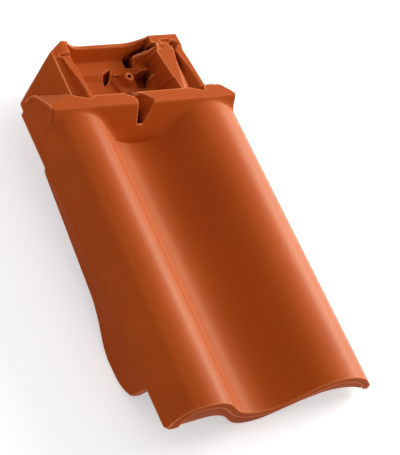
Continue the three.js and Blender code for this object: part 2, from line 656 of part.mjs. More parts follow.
// What stands on the floor of the hollow: band, tongue, seat, ledge, shelf and boss.
function troughFill() {
  const low = TROUGH_FLOOR_Z - 2;
  const back = TILE_LENGTH - 4;
  const left = TROUGH_LEFT_X + 8;
  const right = TROUGH_REAR_RIGHT_X - 2;
  const slopeEnd = BOSS_X - BAND_RIGHT_GAP;
  const profile = [
    [BAND_FRONT_Y - BAND_SLOPE_RUN - 2, low],
    [BAND_FRONT_Y - BAND_SLOPE_RUN - 2, TROUGH_FLOOR_Z],
    [BAND_FRONT_Y - BAND_SLOPE_RUN, TROUGH_FLOOR_Z],
    [BAND_FRONT_Y, BAND_TOP_Z],
    [back, BAND_TOP_Z],
    [back, low],
  ];
  const band = alongX(profile, left, slopeEnd);
  const tongueLeft = BOSS_X - TONGUE_LEFT_GAP;
  const behind = block(left, right, BAND_FRONT_Y + 4, back, low, BAND_TOP_Z);
  const tongue = block(tongueLeft, right, TILE_LENGTH - TONGUE_SETBACK, back, low, BAND_TOP_Z);
  const ledgeRight = TROUGH_REAR_RIGHT_X + 3;
  const ledgeLeft = ledgeRight - LEDGE_WIDTH;
  const ledgeBack = LEDGE_FRONT_Y + LEDGE_LENGTH;
  const ledge = block(ledgeLeft, ledgeRight, LEDGE_FRONT_Y, ledgeBack + 2, low, LEDGE_TOP_Z);
  const bossTop = SEAT_TOP_Z + BOSS_HEIGHT;
  const taper = (BOSS_BASE_RADIUS - BOSS_TOP_RADIUS) / BOSS_HEIGHT;
  const bossFoot = BOSS_BASE_RADIUS + taper * (SEAT_TOP_Z - low);
  const boss = post(BOSS_X, BOSS_Y, low, bossTop, bossFoot, BOSS_TOP_RADIUS);
  const floor = block(left, right, BAR_MIDDLE_BACK_Y - 1, back, low - 2, TROUGH_FLOOR_Z);
  const raised = band.add(behind).add(tongue).add(ledge).add(bossSeat(low)).add(shelf());
  return raised.add(boss.subtract(floor));
}

// Hollows sunk into the floor and the right wall.
function troughCuts() {
  const poolX = BOSS_X - BAND_RIGHT_GAP;
  const poolY = TILE_LENGTH - POOL_SETBACK;
  const deep = TROUGH_FLOOR_Z - POOL_DEPTH;
  const pool = post(0, 0, deep, BAND_TOP_Z + 2, POOL_LENGTH / 2 - 1, POOL_LENGTH / 2)
    .scale([POOL_WIDTH / (POOL_LENGTH / 2), 1, 1])
    .translate([poolX, poolY, 0]);
  const half = block(poolX, poolX + POOL_WIDTH + 2, poolY - POOL_LENGTH, poolY + POOL_LENGTH, 0, 40);
  const slotEnd = TROUGH_REAR_RIGHT_X + WALL_SLOT_DEPTH - 2;
  const slotStart = slotEnd - LEDGE_WIDTH - 3;
  const slot = faceted([
    [slotStart, LEDGE_FRONT_Y, TROUGH_FLOOR_Z - 1],
    [slotStart, LEDGE_FRONT_Y - WALL_SLOT_WIDTH * 2, TROUGH_FLOOR_Z - 1],
    [slotStart, LEDGE_FRONT_Y, LEDGE_TOP_Z + 2],
    [slotStart, LEDGE_FRONT_Y - WALL_SLOT_WIDTH * 2, LEDGE_TOP_Z + 2],
    [slotEnd, LEDGE_FRONT_Y, LEDGE_TOP_Z - 1],
    [slotEnd, LEDGE_FRONT_Y - 1, LEDGE_TOP_Z - 1],
    [slotEnd, LEDGE_FRONT_Y, LEDGE_TOP_Z + 2],
  ]);
  return pool.intersect(half).add(slot).add(rearSlot());
}

// The dip of the rear rim: a short rise at the left and a slow S-shaped one at the right.
function rimDip() {
  const left = HEAD_LEFT_X + LEFT_BLOCK_WIDTH;
  const right = HEAD_REAR_RIGHT_X - RIGHT_BLOCK_WIDTH;
  const rise = HEAD_TOP_Z - REAR_RIM_TOP_Z;
  const curve = [];
  for (let k = 0; k <= 10; k += 1) {
    const share = k / 10;
    const lift = share ** 2.2;
    curve.push([right - REAR_RIM_RIGHT_RUN * (1 - share), REAR_RIM_TOP_Z + rise * lift]);
  }
  const section = [
    [left + 1, HEAD_TOP_Z + 6],
    [left + 1, HEAD_TOP_Z - rise * 0.2],
    [left + REAR_RIM_LEFT_RUN * 0.45, REAR_RIM_TOP_Z + rise * 0.25],
    [left + REAR_RIM_LEFT_RUN, REAR_RIM_TOP_Z],
    ...curve,
    [right, HEAD_TOP_Z + 6],
  ];
  return alongY(section, END_BLOCK_FRONT_Y + 6, TILE_LENGTH + 1);
}

// A groove with a gentle left side and a steep right side, in (X, Z) at the top of a rail.
function grooveSection(left, right) {
  const deep = left + (right - left) * GROOVE_DEEP_SHARE;
  return [
    [left, HEAD_TOP_Z + 5],
    [left, HEAD_TOP_Z],
    [deep, HEAD_TOP_Z - Math.min(RAIL_GROOVE_DEPTH, right - left)],
    [right, HEAD_TOP_Z],
    [right, HEAD_TOP_Z + 5],
  ];
}

function railGrooves() {
  const leftStart = HEAD_LEFT_X + LEFT_RAIL_TOP;
  const left = facetedAlongY(
    grooveSection(leftStart, HEAD_LEFT_X + LEFT_GROOVE_FRONT),
    BAR_BACK_Y - 1,
    grooveSection(leftStart, HEAD_LEFT_X + LEFT_GROOVE_REAR),
    END_BLOCK_FRONT_Y,
  );
  const frontEdge = HEAD_RIGHT_X - RIGHT_RAIL_FRONT;
  const rearEdge = HEAD_REAR_RIGHT_X - RIGHT_RAIL_REAR;
  const right = facetedAlongY(
    grooveSection(frontEdge - RIGHT_GROOVE_FRONT, frontEdge),
    BAR_BACK_Y - 2,
    grooveSection(rearEdge - RIGHT_GROOVE_REAR, rearEdge),
    END_BLOCK_FRONT_Y,
  );
  return left.add(right);
}

function leftEndBlock() {
  const front = END_BLOCK_FRONT_Y;
  const low = HEAD_TOP_Z - 12;
  const top = HEAD_TOP_Z + END_BLOCK_RAISE;
  const right = HEAD_LEFT_X + LEFT_BLOCK_WIDTH;
  const cut = HEAD_LEFT_X + HEAD_CORNER_CUT;
  return faceted([
    [HEAD_LEFT_X, front, HEAD_TOP_Z - 1],
    [HEAD_LEFT_X, SHOULDER_REAR_Y, HEAD_TOP_Z - 1],
    [cut, TILE_LENGTH, top],
    [right, TILE_LENGTH, top],
    [right - 4, front, top],
    [HEAD_LEFT_X + LEFT_GROOVE_REAR, front, top],
    [HEAD_LEFT_X, front, low],
    [HEAD_LEFT_X, SHOULDER_REAR_Y, low],
    [cut, TILE_LENGTH, low],
    [right, TILE_LENGTH, low],
    [right - 4, front, low],
  ]);
}

function rightEndBlock() {
  const front = END_BLOCK_FRONT_Y;
  const low = HEAD_TOP_Z - 12;
  const top = HEAD_TOP_Z + END_BLOCK_RAISE;
  const left = HEAD_REAR_RIGHT_X - RIGHT_BLOCK_WIDTH;
  const inner = TROUGH_REAR_RIGHT_X;
  const outline = [
    [inner, front],
    [HEAD_REAR_RIGHT_X, front],
    [HEAD_REAR_RIGHT_X, TILE_LENGTH],
    [left, TILE_LENGTH],
    [left, TILE_LENGTH - REAR_WALL_TOP],
    [left + 5, TILE_LENGTH - REAR_WALL_TOP - 1],
    [inner + 3, front + 8],
  ];
  const pocketX = HEAD_REAR_RIGHT_X - RIGHT_RAIL_REAR - 0.5;
  const pocketY = front + 9;
  const slotY = pocketY + POCKET_RADIUS - SLOT_WIDTH;
  const slot = block(pocketX - SLOT_LENGTH, pocketX, slotY, slotY + SLOT_WIDTH, top - SLOT_DEPTH, top + 3);
  const pocket = post(pocketX, pocketY, top - POCKET_DEPTH, top + 3, POCKET_RADIUS, POCKET_RADIUS);
  const mouth = block(pocketX - 1.5, pocketX + 1.5, front - 1, pocketY, top - POCKET_DEPTH + 1, top + 3);
  return upright(outline, low, top).subtract(slot).subtract(pocket).subtract(mouth);
}

function endBlocks() {
  return leftEndBlock().add(rightEndBlock());
}

function hangingNibs() {
  const back = NIB_FRONT_Y + NIB_LENGTH;
  let nibs = null;
  for (const centre of NIB_CENTRES_X) {
    const section = [
      [NIB_FRONT_Y, TROUGH_FLOOR_Z - 4],
      [NIB_FRONT_Y, NIB_FOOT_Z],
      [back - 5, NIB_FOOT_Z],
      [back, NIB_FOOT_Z + 8],
      [back + 3, TROUGH_FLOOR_Z - 4],
    ];
    const nib = alongX(section, centre - NIB_WIDTH / 2, centre + NIB_WIDTH / 2);
    nibs = nibs ? nibs.add(nib) : nib;
  }
  return nibs.subtract(troughCuts());
}

function nailHole() {
  return post(BOSS_X, BOSS_Y, -60, 70, NAIL_HOLE_RADIUS, NAIL_HOLE_RADIUS);
}

function tile() {
  let body = wavyPlate().add(frontFoot()).add(flange());
  body = body.add(crossBar()).add(barHip()).add(shoulder()).add(headBody()).add(verge());
  body = body.subtract(rimDip());
  body = body.subtract(trough());
  body = body.add(troughFill());
  body = body.subtract(troughCuts());
  body = body.subtract(railGrooves());
  body = body.add(endBlocks()).add(hangingNibs());
  return body.subtract(notch()).subtract(nailHole());
}

// ---- Posture: as the tile lies on a level floor ----
// It rests on the flange lobe, the foot rib under the valley and the outer batten nib.
function lowestAlong(up, points) {
  let best = points[0];
  for (const point of points) {
    if (up.dot(point) < up.dot(best)) best = point;
  }
  return best;
}

function restingMatrix() {
  const nibX = NIB_CENTRES_X[NIB_CENTRES_X.length - 1] + NIB_WIDTH / 2;
  const nib = new THREE.Vector3(nibX, NIB_FRONT_Y, NIB_FOOT_Z);
  const lobe = new THREE.Vector3(LIP_INNER_X, FLANGE_LOBE_Y, -FLANGE_LOBE_DEPTH);
  const back = FOOT_RIB_SETBACK + FOOT_RIB_WIDTH;
  const foot = roundedLine(footCorners()).flatMap(([x, z]) => [
    new THREE.Vector3(x, FOOT_RIB_SETBACK, z),
    new THREE.Vector3(x, back, z),
  ]);
  let up = new THREE.Vector3(0, 0, 1);
  for (let turn = 0; turn < 5; turn += 1) {
    const rib = lowestAlong(up, foot);
    const across = nib.clone().sub(lobe);
    up = rib.clone().sub(lobe).cross(across).normalize();
  }
  const quaternion = new THREE.Quaternion();
  quaternion.setFromUnitVectors(up, new THREE.Vector3(0, 0, 1));
  const matrix = new THREE.Matrix4().makeRotationFromQuaternion(quaternion);
  const landed = lobe.clone().applyMatrix4(matrix);
  const middle = new THREE.Vector3(COVER_WIDTH / 2, TILE_LENGTH / 2, 0).applyMatrix4(matrix);
  matrix.premultiply(new THREE.Matrix4().makeTranslation(-middle.x, -middle.y, -landed.z));
  return matrix;
}

// ---- Export ----
function meshOf(manifold, name) {
  const made = manifold.getMesh();
  const geometry = new THREE.BufferGeometry();
  const position = new THREE.BufferAttribute(new Float32Array(made.vertProperties), 3);
  geometry.setAttribute("position", position);
  geometry.setIndex(new THREE.BufferAttribute(new Uint32Array(made.triVerts), 1));
  const material = new THREE.MeshStandardMaterial({
    color: CLAY_COLOUR,
    roughness: 0.45,
    metalness: 0,
  });
  geometry.applyMatrix4(restingMatrix());
  geometry.computeVertexNormals();
  const mesh = new THREE.Mesh(geometry, material);
  mesh.name = name;
  return mesh;
}

const group = new THREE.Group();
group.add(meshOf(tile(), "roof_tile"));
export default group;
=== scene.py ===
"""Dresses the clay verge tile: one fired body with soft pressed edges and a satin engobe.

The tile is drawn in its own frame, in millimetres: X across from the verge lip, Y up the
slope from the front edge, Z out of the roof. The resting move lays it on the floor.
"""

import json
import logging
import math
from dataclasses import dataclass, field
from enum import Enum

import bpy
import numpy as np
from mathutils import Matrix, Vector

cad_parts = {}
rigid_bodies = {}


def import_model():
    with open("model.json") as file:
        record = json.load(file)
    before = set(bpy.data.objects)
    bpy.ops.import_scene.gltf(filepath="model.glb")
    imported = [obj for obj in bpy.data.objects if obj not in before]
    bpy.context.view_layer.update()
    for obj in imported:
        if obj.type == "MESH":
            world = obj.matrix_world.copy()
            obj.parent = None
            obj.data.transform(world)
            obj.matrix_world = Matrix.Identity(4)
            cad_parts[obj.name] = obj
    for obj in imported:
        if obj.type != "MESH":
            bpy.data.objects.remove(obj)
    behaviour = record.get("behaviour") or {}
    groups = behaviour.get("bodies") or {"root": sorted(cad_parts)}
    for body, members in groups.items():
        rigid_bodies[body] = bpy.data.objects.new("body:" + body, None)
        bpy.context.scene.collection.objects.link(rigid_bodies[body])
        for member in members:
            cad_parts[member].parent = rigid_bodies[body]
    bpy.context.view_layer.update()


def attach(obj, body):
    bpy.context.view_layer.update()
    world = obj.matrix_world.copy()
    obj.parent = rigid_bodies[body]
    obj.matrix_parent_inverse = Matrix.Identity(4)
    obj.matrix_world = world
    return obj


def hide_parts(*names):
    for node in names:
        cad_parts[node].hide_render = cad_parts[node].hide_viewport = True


Array = np.ndarray
Line = tuple[tuple[float, float], ...]  # pairs of place and value
Corners = tuple[tuple[float, float, float], ...]  # corner points with their radii
log = logging.getLogger("verge_tile")

MM_PER_METRE = 1000.0
SUNK = 60.0  # a level lowered by this much shows nowhere
WALL_EASE = 0.5  # share of a wall's run over which its corners are rounded
BAR_TOP = 48.0  # level of the bar's flat top
ARC_POINTS = 40  # points on each arc of a profile

# How the tile lies on the floor: it leans about a level axis, and is then shifted.
REST_LEAN = 9.9567  # in degrees
REST_AXIS = 80.1765  # the axis as seen from above, in degrees from X
REST_SHIFT = (-125.711, -224.723, 41.611)


# ---- Shaping functions on whole arrays ----
def soft_min(a: Array, b: Array, ease: float) -> Array:
    """The smaller of two levels, the corner between them eased where they differ by less than ease."""
    # Formula: min(a, b) less ease/4 * h^2; h is 1 where a equals b and 0 where they differ by ease.
    h = np.maximum(ease - np.abs(a - b), 0.0) / ease
    return np.minimum(a, b) - h * h * ease / 4.0


def soft_max(a: Array, b: Array, ease: float) -> Array:
    """The larger of two levels, with the corner between them eased."""
    return -soft_min(-np.asarray(a, float), -np.asarray(b, float), ease)


def rise(distance: Array, run: float) -> Array:
    """A wall's share of its height at a distance past its foot: 0 before it, 1 beyond its run."""
    # Formula: distance over run, held between 0 and 1 with both corners eased.
    t = np.asarray(distance, float) / run
    return soft_min(soft_max(t, 0.0, WALL_EASE), 1.0, WALL_EASE)


def fall(distance: Array, run: float) -> Array:
    """The reverse of rise: 1 before the wall, 0 beyond it."""
    return 1.0 - rise(distance, run)


def mix(a: Array, b: Array, share: Array) -> Array:
    """Goes from one level to another by a share between 0 and 1."""
    return a + (b - a) * share


def along(y: Array, line: Line) -> Array:
    """A value that changes in straight lines between the places of a line."""
    places, values = zip(*line)
    return np.interp(y, places, values)


def resting() -> Matrix:
    """The move from the tile's own frame to how it lies on the floor, in millimetres."""
    axis = Vector((math.cos(math.radians(REST_AXIS)), math.sin(math.radians(REST_AXIS)), 0.0))
    return Matrix.Translation(REST_SHIFT) @ Matrix.Rotation(math.radians(REST_LEAN), 4, axis)


def rounded_profile(corners: Corners, offset: float = 0.0) -> Array:
    """Straight lines joined by arcs, as points [x, z].

    Formula: each corner is replaced by an arc of its radius that touches both lines. With an
    offset the whole line moves to its right by that much and the arcs keep their centres.

    Args:
        corners: Corner points with their radii.
        offset: Sideways shift of the line.

    Returns:
        Points along the profile.
    """
    pts = np.array([c[:2] for c in corners], float)
    steps = np.diff(pts, axis=0)
    dirs = steps / np.linalg.norm(steps, axis=1)[:, None]
    normal = np.column_stack([dirs[:, 1], -dirs[:, 0]])
    out = [pts[:1] + normal[:1] * offset]
    for i in range(1, len(pts) - 1):
        a, b = dirs[i - 1], dirs[i]
        turn = math.atan2(a[0] * b[1] - a[1] * b[0], float(a @ b))
        radius, side = corners[i][2], math.copysign(1.0, turn)
        start = pts[i] - a * radius * math.tan(abs(turn) / 2)
        centre = start - side * radius * normal[i - 1]
        angles = np.linspace(0.0, turn, ARC_POINTS)
        spoke = (start - centre) * (1 + side * offset / radius)
        c, s = np.cos(angles), np.sin(angles)
        arc = np.column_stack([spoke[0] * c - spoke[1] * s, spoke[0] * s + spoke[1] * c])
        out.append(centre + arc)
    out.append(pts[-1:] + normal[-1:] * offset)
    return np.vstack(out)


# ---- Sub-assemblies of the one clay body ----
@dataclass
class WavePlate:
    """The rolled plate: a round roll on each side of a round valley."""

    width: float = 254.0
    thickness: float = 12.0
    nose: float = 8.6  # thickness at the front edge, ahead of the foot rib
    lip_inner: float = 14.0
    edge_foot: float = 10.5  # level of the cover edge's flat foot
    edge_foot_width: float = 6.0
    edge_foot_run: float = 2.5
    edge_trim: float = 3.0
    corners: Corners = (
        (5.5, 27.5, 0.0),
        (10.0, 38.3, 24.2),
        (51.3, 50.0, 44.2),
        (117.3, -17.4, 55.0),
        (208.4, 69.1, 56.0),
        (254.0, 17.8, 0.0),
    )

    def top(self, x: Array) -> Array:
        """Level of the weather face at each x."""
        line = rounded_profile(self.corners)
        return np.interp(x, line[:, 0], line[:, 1])

    def underside(self, x: Array, thickness: float) -> Array:
        """Level of the underside, one thickness below the weather face, flat at the cover edge.

        Args:
            x: Places across.
            thickness: Thickness of the plate there.

        Returns:
            The underside's level.
        """
        line = rounded_profile(self.corners, thickness)
        keep = (line[:, 0] > self.lip_inner) & (line[:, 0] < self.width - self.edge_trim)
        line = line[keep]
        level = np.interp(x, line[:, 0], line[:, 1])
        flat = self.width - self.edge_foot_width
        return mix(level, self.edge_foot, np.interp(x, [flat - self.edge_foot_run, flat], [0.0, 1.0]))


@dataclass
class VergeSide:
    """The outer side: lip face, groove, bead, flank foot, and the flange that hangs below."""

    lip_rise_front: float = 3.5  # the lip is this much shallower at the front
    lip_rise_length: float = 68.0
    lip_rise_run: float = 4.0
    lip_corner: float = 5.0
    lip_ease: float = 1.5
    lip_end: float = 388.0
    lip_end_step: float = 6.0
    lip_end_run: float = 0.6
    lip_top: float = 12.0
    wall_gap: float = 0.05  # the wall's own points stay this far below the weather face
    wall_end: float = 392.4
    wall_end_run: float = 0.2
    flange_inset: float = 2.2
    flange_run: float = 0.6
    inner: float = 14.0
    inner_lead: float = 0.2  # the inner wall starts this far before its line
    inner_run: float = 0.9
    lobe_depth: float = 43.0
    lobe_place: float = 106.0
    lobe_lean: float = 0.0301
    smooth_span: tuple[float, float] = (30.0, 345.0)
    smooth_step: float = 0.5
    smooth_reach: int = 12  # half the window, in steps
    flange_line: Line = (
        (48.0, 6.0),
        (57.0, -30.1),
        (68.0, -37.5),
        (84.0, -42.6),
        (106.0, -44.0),
        (124.0, -39.8),
        (148.0, -29.2),
        (168.0, -23.0),
        (320.0, -8.0),
        (328.0, 6.0),
    )
    # Wall from foot to flank: place across, share of the lip's height, and level added to it.
    wall_line: tuple[tuple[float, float, float], ...] = (
        (0.0, 0.35, 0.0),
        (0.0, 0.8, 0.0),
        (0.05, 1.0, -1.0),
        (0.45, 1.0, -0.2),
        (1.3, 1.0, 0.8),
        (1.35, 1.0, 1.6),
        (0.75, 1.0, 2.6),
        (0.75, 1.0, 3.6),
        (1.1, 1.0, 5.0),
        (1.9, 1.0, 6.4),
        (3.2, 1.0, 10.0),
        (4.1, 1.0, 12.6),
    )

    def lip_foot(self, y: Array) -> Array:
        """Level of the lip's lower edge: a step up near the front, a chamfered front corner.

        Args:
            y: Places along.

        Returns:
            The lip's lower edge.
        """
        step = rise(y - self.lip_rise_length + self.lip_rise_run / 2, self.lip_rise_run)
        corner = self.lip_rise_front + self.lip_corner - y
        level = soft_max(self.lip_rise_front * (1.0 - step), corner, self.lip_ease)
        return level + self.lip_end_step * rise(y - self.lip_end, self.lip_end_run)

    def flange_foot(self, y: Array) -> Array:
        """Level of the flange's lower edge: a deep smooth lobe, then a shallow strip.

        Formula: straight lines between places, smoothed by a raised-cosine window.

        Args:
            y: Places along.

        Returns:
            The flange's lower edge.
        """
        grid = np.arange(*self.smooth_span, self.smooth_step)
        window = np.hanning(2 * self.smooth_reach + 1)
        raw = np.pad(along(grid, self.flange_line), self.smooth_reach, mode="edge")
        smooth = np.convolve(raw, window / window.sum(), "valid")
        lowest = -self.lobe_depth + (self.lobe_place - y) * self.lobe_lean
        return np.maximum(np.interp(y, grid, smooth), lowest)

    def underside(self, x: Array, y: Array, plate: Array) -> Array:
        """Underside with the lip and the flange let down from the plate.

        Args:
            x: Places across.
            y: Places along.
            plate: Underside of the plate there.

        Returns:
            The lower of the plate, the lip and the flange.
        """
        lip = self.lip_foot(y)
        flange = np.minimum(self.flange_foot(y), lip)
        inner = rise(x - self.inner + self.inner_lead, self.inner_run)
        outer = rise(x - self.flange_inset + self.flange_run / 2, self.flange_run)
        return mix(lip, plate, inner) + (flange - lip) * outer * (1.0 - inner)

    def wall(self, top: Array, bottom: Array) -> Array:
        """Points of the verge side between underside and weather face, [station, point, 3].

        Formula: the lip's profile of face, groove and bead, sampled by height; beyond its end
        it gives way to a plain upright wall.

        Args:
            top: First column of the weather face.
            bottom: First column of the underside.

        Returns:
            The wall's points, underside first, without the two ends.
        """
        y = bottom[:, 1]
        across, share, added = np.array(self.wall_line).T
        lip = bottom[:, 2:3] + (self.lip_top - bottom[:, 2:3]) * share + added
        lip = np.minimum(lip, top[:, 2:3] - self.wall_gap)
        upright = np.linspace(0, 1, len(across) + 2)[None, 1:-1]
        plain = [bottom[:, i : i + 1] * (1 - upright) + top[:, i : i + 1] * upright for i in (0, 2)]
        end = rise(y - self.wall_end, self.wall_end_run)[:, None]
        wall_x = across * (1 - end) + plain[0] * end
        wall_z = lip * (1 - end) + plain[1] * end
        wall_y = np.broadcast_to(y[:, None], wall_x.shape)
        return np.stack([wall_x, wall_y, wall_z], axis=2)


@dataclass
class FrontFoot:
    """The rib under the front edge."""

    setback: float = 2.2
    front_run: float = 0.35
    rear_run: float = 0.8
    width: float = 14.0
    left: float = 13.0
    corners: Corners = (
        (14.0, 4.0, 0.0),
        (63.4, 14.1, 36.0),
        (109.7, -33.2, 39.0),
        (197.2, 25.1, 77.0),
        (254.0, 8.1, 0.0),
    )

    def behind_front(self, y: Array) -> Array:
        """Share that is 0 ahead of the rib's front face and 1 behind it."""
        return rise(y - self.setback, self.front_run)

    def underside(self, x: Array, y: Array, plate: Array) -> Array:
        """Underside with the foot rib let down from the plate.

        Args:
            x: Places across.
            y: Places along.
            plate: Underside of the plate there.

        Returns:
            The lower of the plate and the rib.
        """
        line = rounded_profile(self.corners)
        foot = np.interp(x, line[:, 0], line[:, 1])
        share = self.behind_front(y) * fall(y - self.setback - self.width, self.rear_run)
        return np.where(x > self.left, plate + np.minimum(foot - plate, 0.0) * share, plate)


@dataclass
class CrossBar:
    """The flat bar across the tile with its ramp, end faces and hip."""

    top: float = BAR_TOP
    front: float = 358.5
    left: float = 4.4
    right: float = 243.6
    slope: float = 1.85
    front_ease: float = 2.8
    left_splay: float = 3.0  # the ramp turns back beside the left end over this width
    hip_reach: float = 60.0
    hip_start: float = 365.0
    hip_rise: float = 0.266  # across
    hip_fall: float = 0.7085  # along
    hip_ease: float = 1.5
    right_run: float = 1.0
    back_lead: float = 0.3  # the back starts to fall this far before its line
    back_run: float = 1.1
    end_run: float = 7.0  # the back falls more gently at the right end
    end_from: float = 227.0
    end_fade: float = 6.0
    fillet: float = 6.0
    widest_fillet: float = 12.0
    fillet_growth: float = 0.22
    back_line: Line = (
        (5.2, 393.7),
        (9.5, 389.5),
        (31.2, 380.3),
        (36.8, 376.6),
        (42.3, 374.2),
        (49.0, 372.8),
        (54.5, 370.8),
        (58.5, 371.4),
        (64.0, 374.0),
        (187.0, 374.0),
        (196.0, 371.2),
        (204.4, 368.4),
        (206.4, 376.5),
        (218.0, 376.5),
        (221.0, 375.4),
        (229.0, 375.8),
        (234.5, 372.6),
        (239.0, 368.8),
        (244.0, 363.2),
    )

    def back(self, x: Array) -> Array:
        """Place of the back edge at each x: the hip's edge, then the bar's, cut at the right."""
        return along(x, self.back_line)

    def ramp(self, x: Array, y: Array) -> Array:
        """Level of the ramp and the flat top, the edge between them a little rounded."""
        front = self.front + np.maximum(self.left + self.left_splay - x, 0.0)
        return soft_min(self.top + self.slope * (y - front), self.top, self.front_ease)

    def hip(self, x: Array, y: Array) -> Array:
        """Level of the plane that falls away behind the left end of the bar."""
        return self.top + self.hip_rise * (x - self.left) - self.hip_fall * (y - self.hip_start)

    def surface(self, x: Array, y: Array) -> Array:
        """Level of the bar, far below everything where the bar isn't.

        Formula: the ramp and top, cut off at the right end, by the hip's plane at the left
        end, and behind the back line.

        Args:
            x: Places across.
            y: Places along.

        Returns:
            The bar's own surface.
        """
        bar = self.ramp(x, y) - SUNK * rise(x - self.right + self.right_run / 2, self.right_run)
        bar = np.where(x < self.hip_reach, soft_min(bar, self.hip(x, y), self.hip_ease), bar)
        run = self.back_run + self.end_run * rise(x - self.end_from, self.end_fade)
        return bar - SUNK * rise(y - self.back(x) + self.back_lead, run)

    def ease(self, wave: Array) -> Array:
        """Ease of the corner between ramp and wave: tight on the rolls, wide in the valley."""
        wide = self.fillet + self.fillet_growth * (self.top - wave)
        return np.clip(wide, self.fillet, self.widest_fillet)


@dataclass
class DrainNotch:
    """The notch in ramp and bar, deep behind its mouth, bending left along the bar's edge."""

    floor: float = 25.4
    mouth: float = 347.6
    mouth_slope: float = 3.0
    mouth_drop: float = 11.0
    lean: float = 3.0
    inset: float = 0.6  # the left wall stands this far inside its line
    slant: float = 10.1
    bar_top: float = BAR_TOP
    rounding: float = 1.6
    left_line: Line = (
        (360.0, 112.4),
        (363.6, 112.8),
        (367.9, 110.2),
        (369.5, 107.2),
        (372.0, 101.5),
    )
    right_line: Line = (
        (358.5, 134.1),
        (361.8, 133.8),
        (364.7, 131.3),
        (368.5, 126.5),
        (371.3, 121.5),
        (372.3, 117.0),
        (373.0, 110.0),
        (373.4, 100.0),
    )

    def surface(self, x: Array, y: Array) -> Array:
        """Level of the notch: steep left wall, slanting right wall, rounded floor.

        Formula: the largest of two slanting planes, through the top edge of each wall, and
        the floor, which drops behind the mouth.

        Args:
            x: Places across.
            y: Places along.

        Returns:
            The notch's level, high above the tile beside it.
        """
        height = self.bar_top - self.floor
        floor = self.floor - np.clip((y - self.mouth) * self.mouth_slope, 0.0, self.mouth_drop)
        left = self.floor + (along(y, self.left_line) + self.lean + self.inset - x) * height / self.lean
        right = self.bar_top + (x - along(y, self.right_line)) * height / self.slant
        return soft_max(soft_max(floor, left, self.rounding), right, self.rounding)


@dataclass(frozen=True)
class HeadFrame:
    """Lines and levels that all parts of the head share."""

    length: float = 449.0
    left: float = 38.4  # the shoulder lies to the left of this line
    rail_top: float = 44.0
    block_front: float = 430.0
    block_top: float = 45.2
    floor: float = 10.0


@dataclass
class LeftRail:
    """The left side of the head: shoulder, groove with its fold, and rail."""

    frame: HeadFrame = HeadFrame()
    shoulder_fall: float = 27.0  # from the head's left line to the verge
    bank_inset: float = 0.8
    bank_slope: float = 3.2
    bank_ease: float = 0.6
    floor_ease: float = 0.8
    floor_tilt: float = 0.14
    tilt_from: float = 51.0
    facet_left: float = 40.5
    facet_foot: float = 42.3
    facet_front: float = 427.5
    facet_run: float = 1.2
    edge_line: Line = (
        (373.2, 57.4),
        (382.1, 59.1),
        (389.3, 58.3),
        (402.3, 55.5),
        (413.5, 51.9),
        (427.6, 48.9),
        (432.1, 51.7),
        (447.0, 54.3),
    )
    fold_run: Line = ((376.0, 4.4), (390.0, 4.0), (400.0, 3.1), (413.0, 1.6), (427.0, 0.6))
    fold_foot: Line = ((376.0, 36.0), (390.0, 37.0), (400.0, 38.0), (413.0, 39.5), (430.0, 42.2))

    def edge(self, y: Array) -> Array:
        """Left edge of the rail."""
        return along(y, self.edge_line)

    def shoulder(self, x: Array) -> Array:
        """Level of the shoulder that slopes down to the verge."""
        f = self.frame
        return f.rail_top - self.shoulder_fall / f.left * (f.left - x)

    def groove(self, x: Array, y: Array) -> Array:
        """Level of the groove, open to the rear corner, with the facet beside the block.

        Formula: a steep bank falls from the shoulder's edge to the tilted floor and the other
        bank rises to the rail; at the rear the facet rises from the floor to the block.

        Args:
            x: Places across.
            y: Places along.

        Returns:
            The groove's level.
        """
        f, rail, foot = self.frame, self.edge(y), along(y, self.fold_foot)
        near = f.rail_top - (x - f.left - self.bank_inset) * self.bank_slope
        steep = f.rail_top - (f.rail_top - foot) * (rail - x) / along(y, self.fold_run)
        floor = soft_max(foot + self.floor_tilt * (x - self.tilt_from), steep, self.floor_ease)
        share = (x - self.facet_left) / (rail - self.facet_left)
        facet = mix(self.facet_foot, f.block_top, share)
        floor = mix(floor, np.maximum(floor, facet), rise(y - self.facet_front, self.facet_run))
        return soft_max(floor, near, self.bank_ease)


@dataclass
class RightRail:
    """The right side of the head: the rail's outer line and the groove along it."""

    frame: HeadFrame = HeadFrame()
    groove_depth: float = 8.0
    groove_share: float = 0.62  # where across the groove its deepest line lies
    groove_ease: float = 1.5
    groove_stop: float = 20.0  # lifts the groove out of the end block
    stop_lead: float = 0.4
    stop_run: float = 1.0
    outer_line: Line = (
        (374.0, 211.8),
        (380.2, 211.2),
        (393.9, 209.8),
        (410.6, 207.9),
        (428.5, 205.2),
        (430.5, 205.2),
        (432.0, 206.3),
        (449.0, 205.4),
    )
    start_line: Line = (
        (368.0, 180.5),
        (377.4, 183.1),
        (396.4, 187.4),
        (417.3, 191.0),
        (430.0, 193.9),
    )
    end_line: Line = (
        (368.0, 205.3),
        (390.1, 204.0),
        (401.8, 201.8),
        (413.7, 198.8),
        (426.5, 196.0),
    )

    def outer(self, y: Array) -> Array:
        """Outer line of the rail, a little further out on the end block."""
        return along(y, self.outer_line)

    def groove(self, x: Array, y: Array) -> Array:
        """Level of the groove with a gentle left side and a steep right side.

        Formula: two planes meet at the deepest line, and the end block closes them.

        Args:
            x: Places across.
            y: Places along.

        Returns:
            The groove's level.
        """
        top, start = self.frame.rail_top, along(y, self.start_line)
        width = along(y, self.end_line) - start
        deep = np.minimum(self.groove_depth, width)
        t = (x - start) / width
        gentle = top - deep * t / self.groove_share
        steep = top - deep * (1.0 - t) / (1.0 - self.groove_share)
        closed = rise(y - self.frame.block_front + self.stop_lead, self.stop_run)
        return soft_max(gentle, steep, self.groove_ease) + self.groove_stop * closed


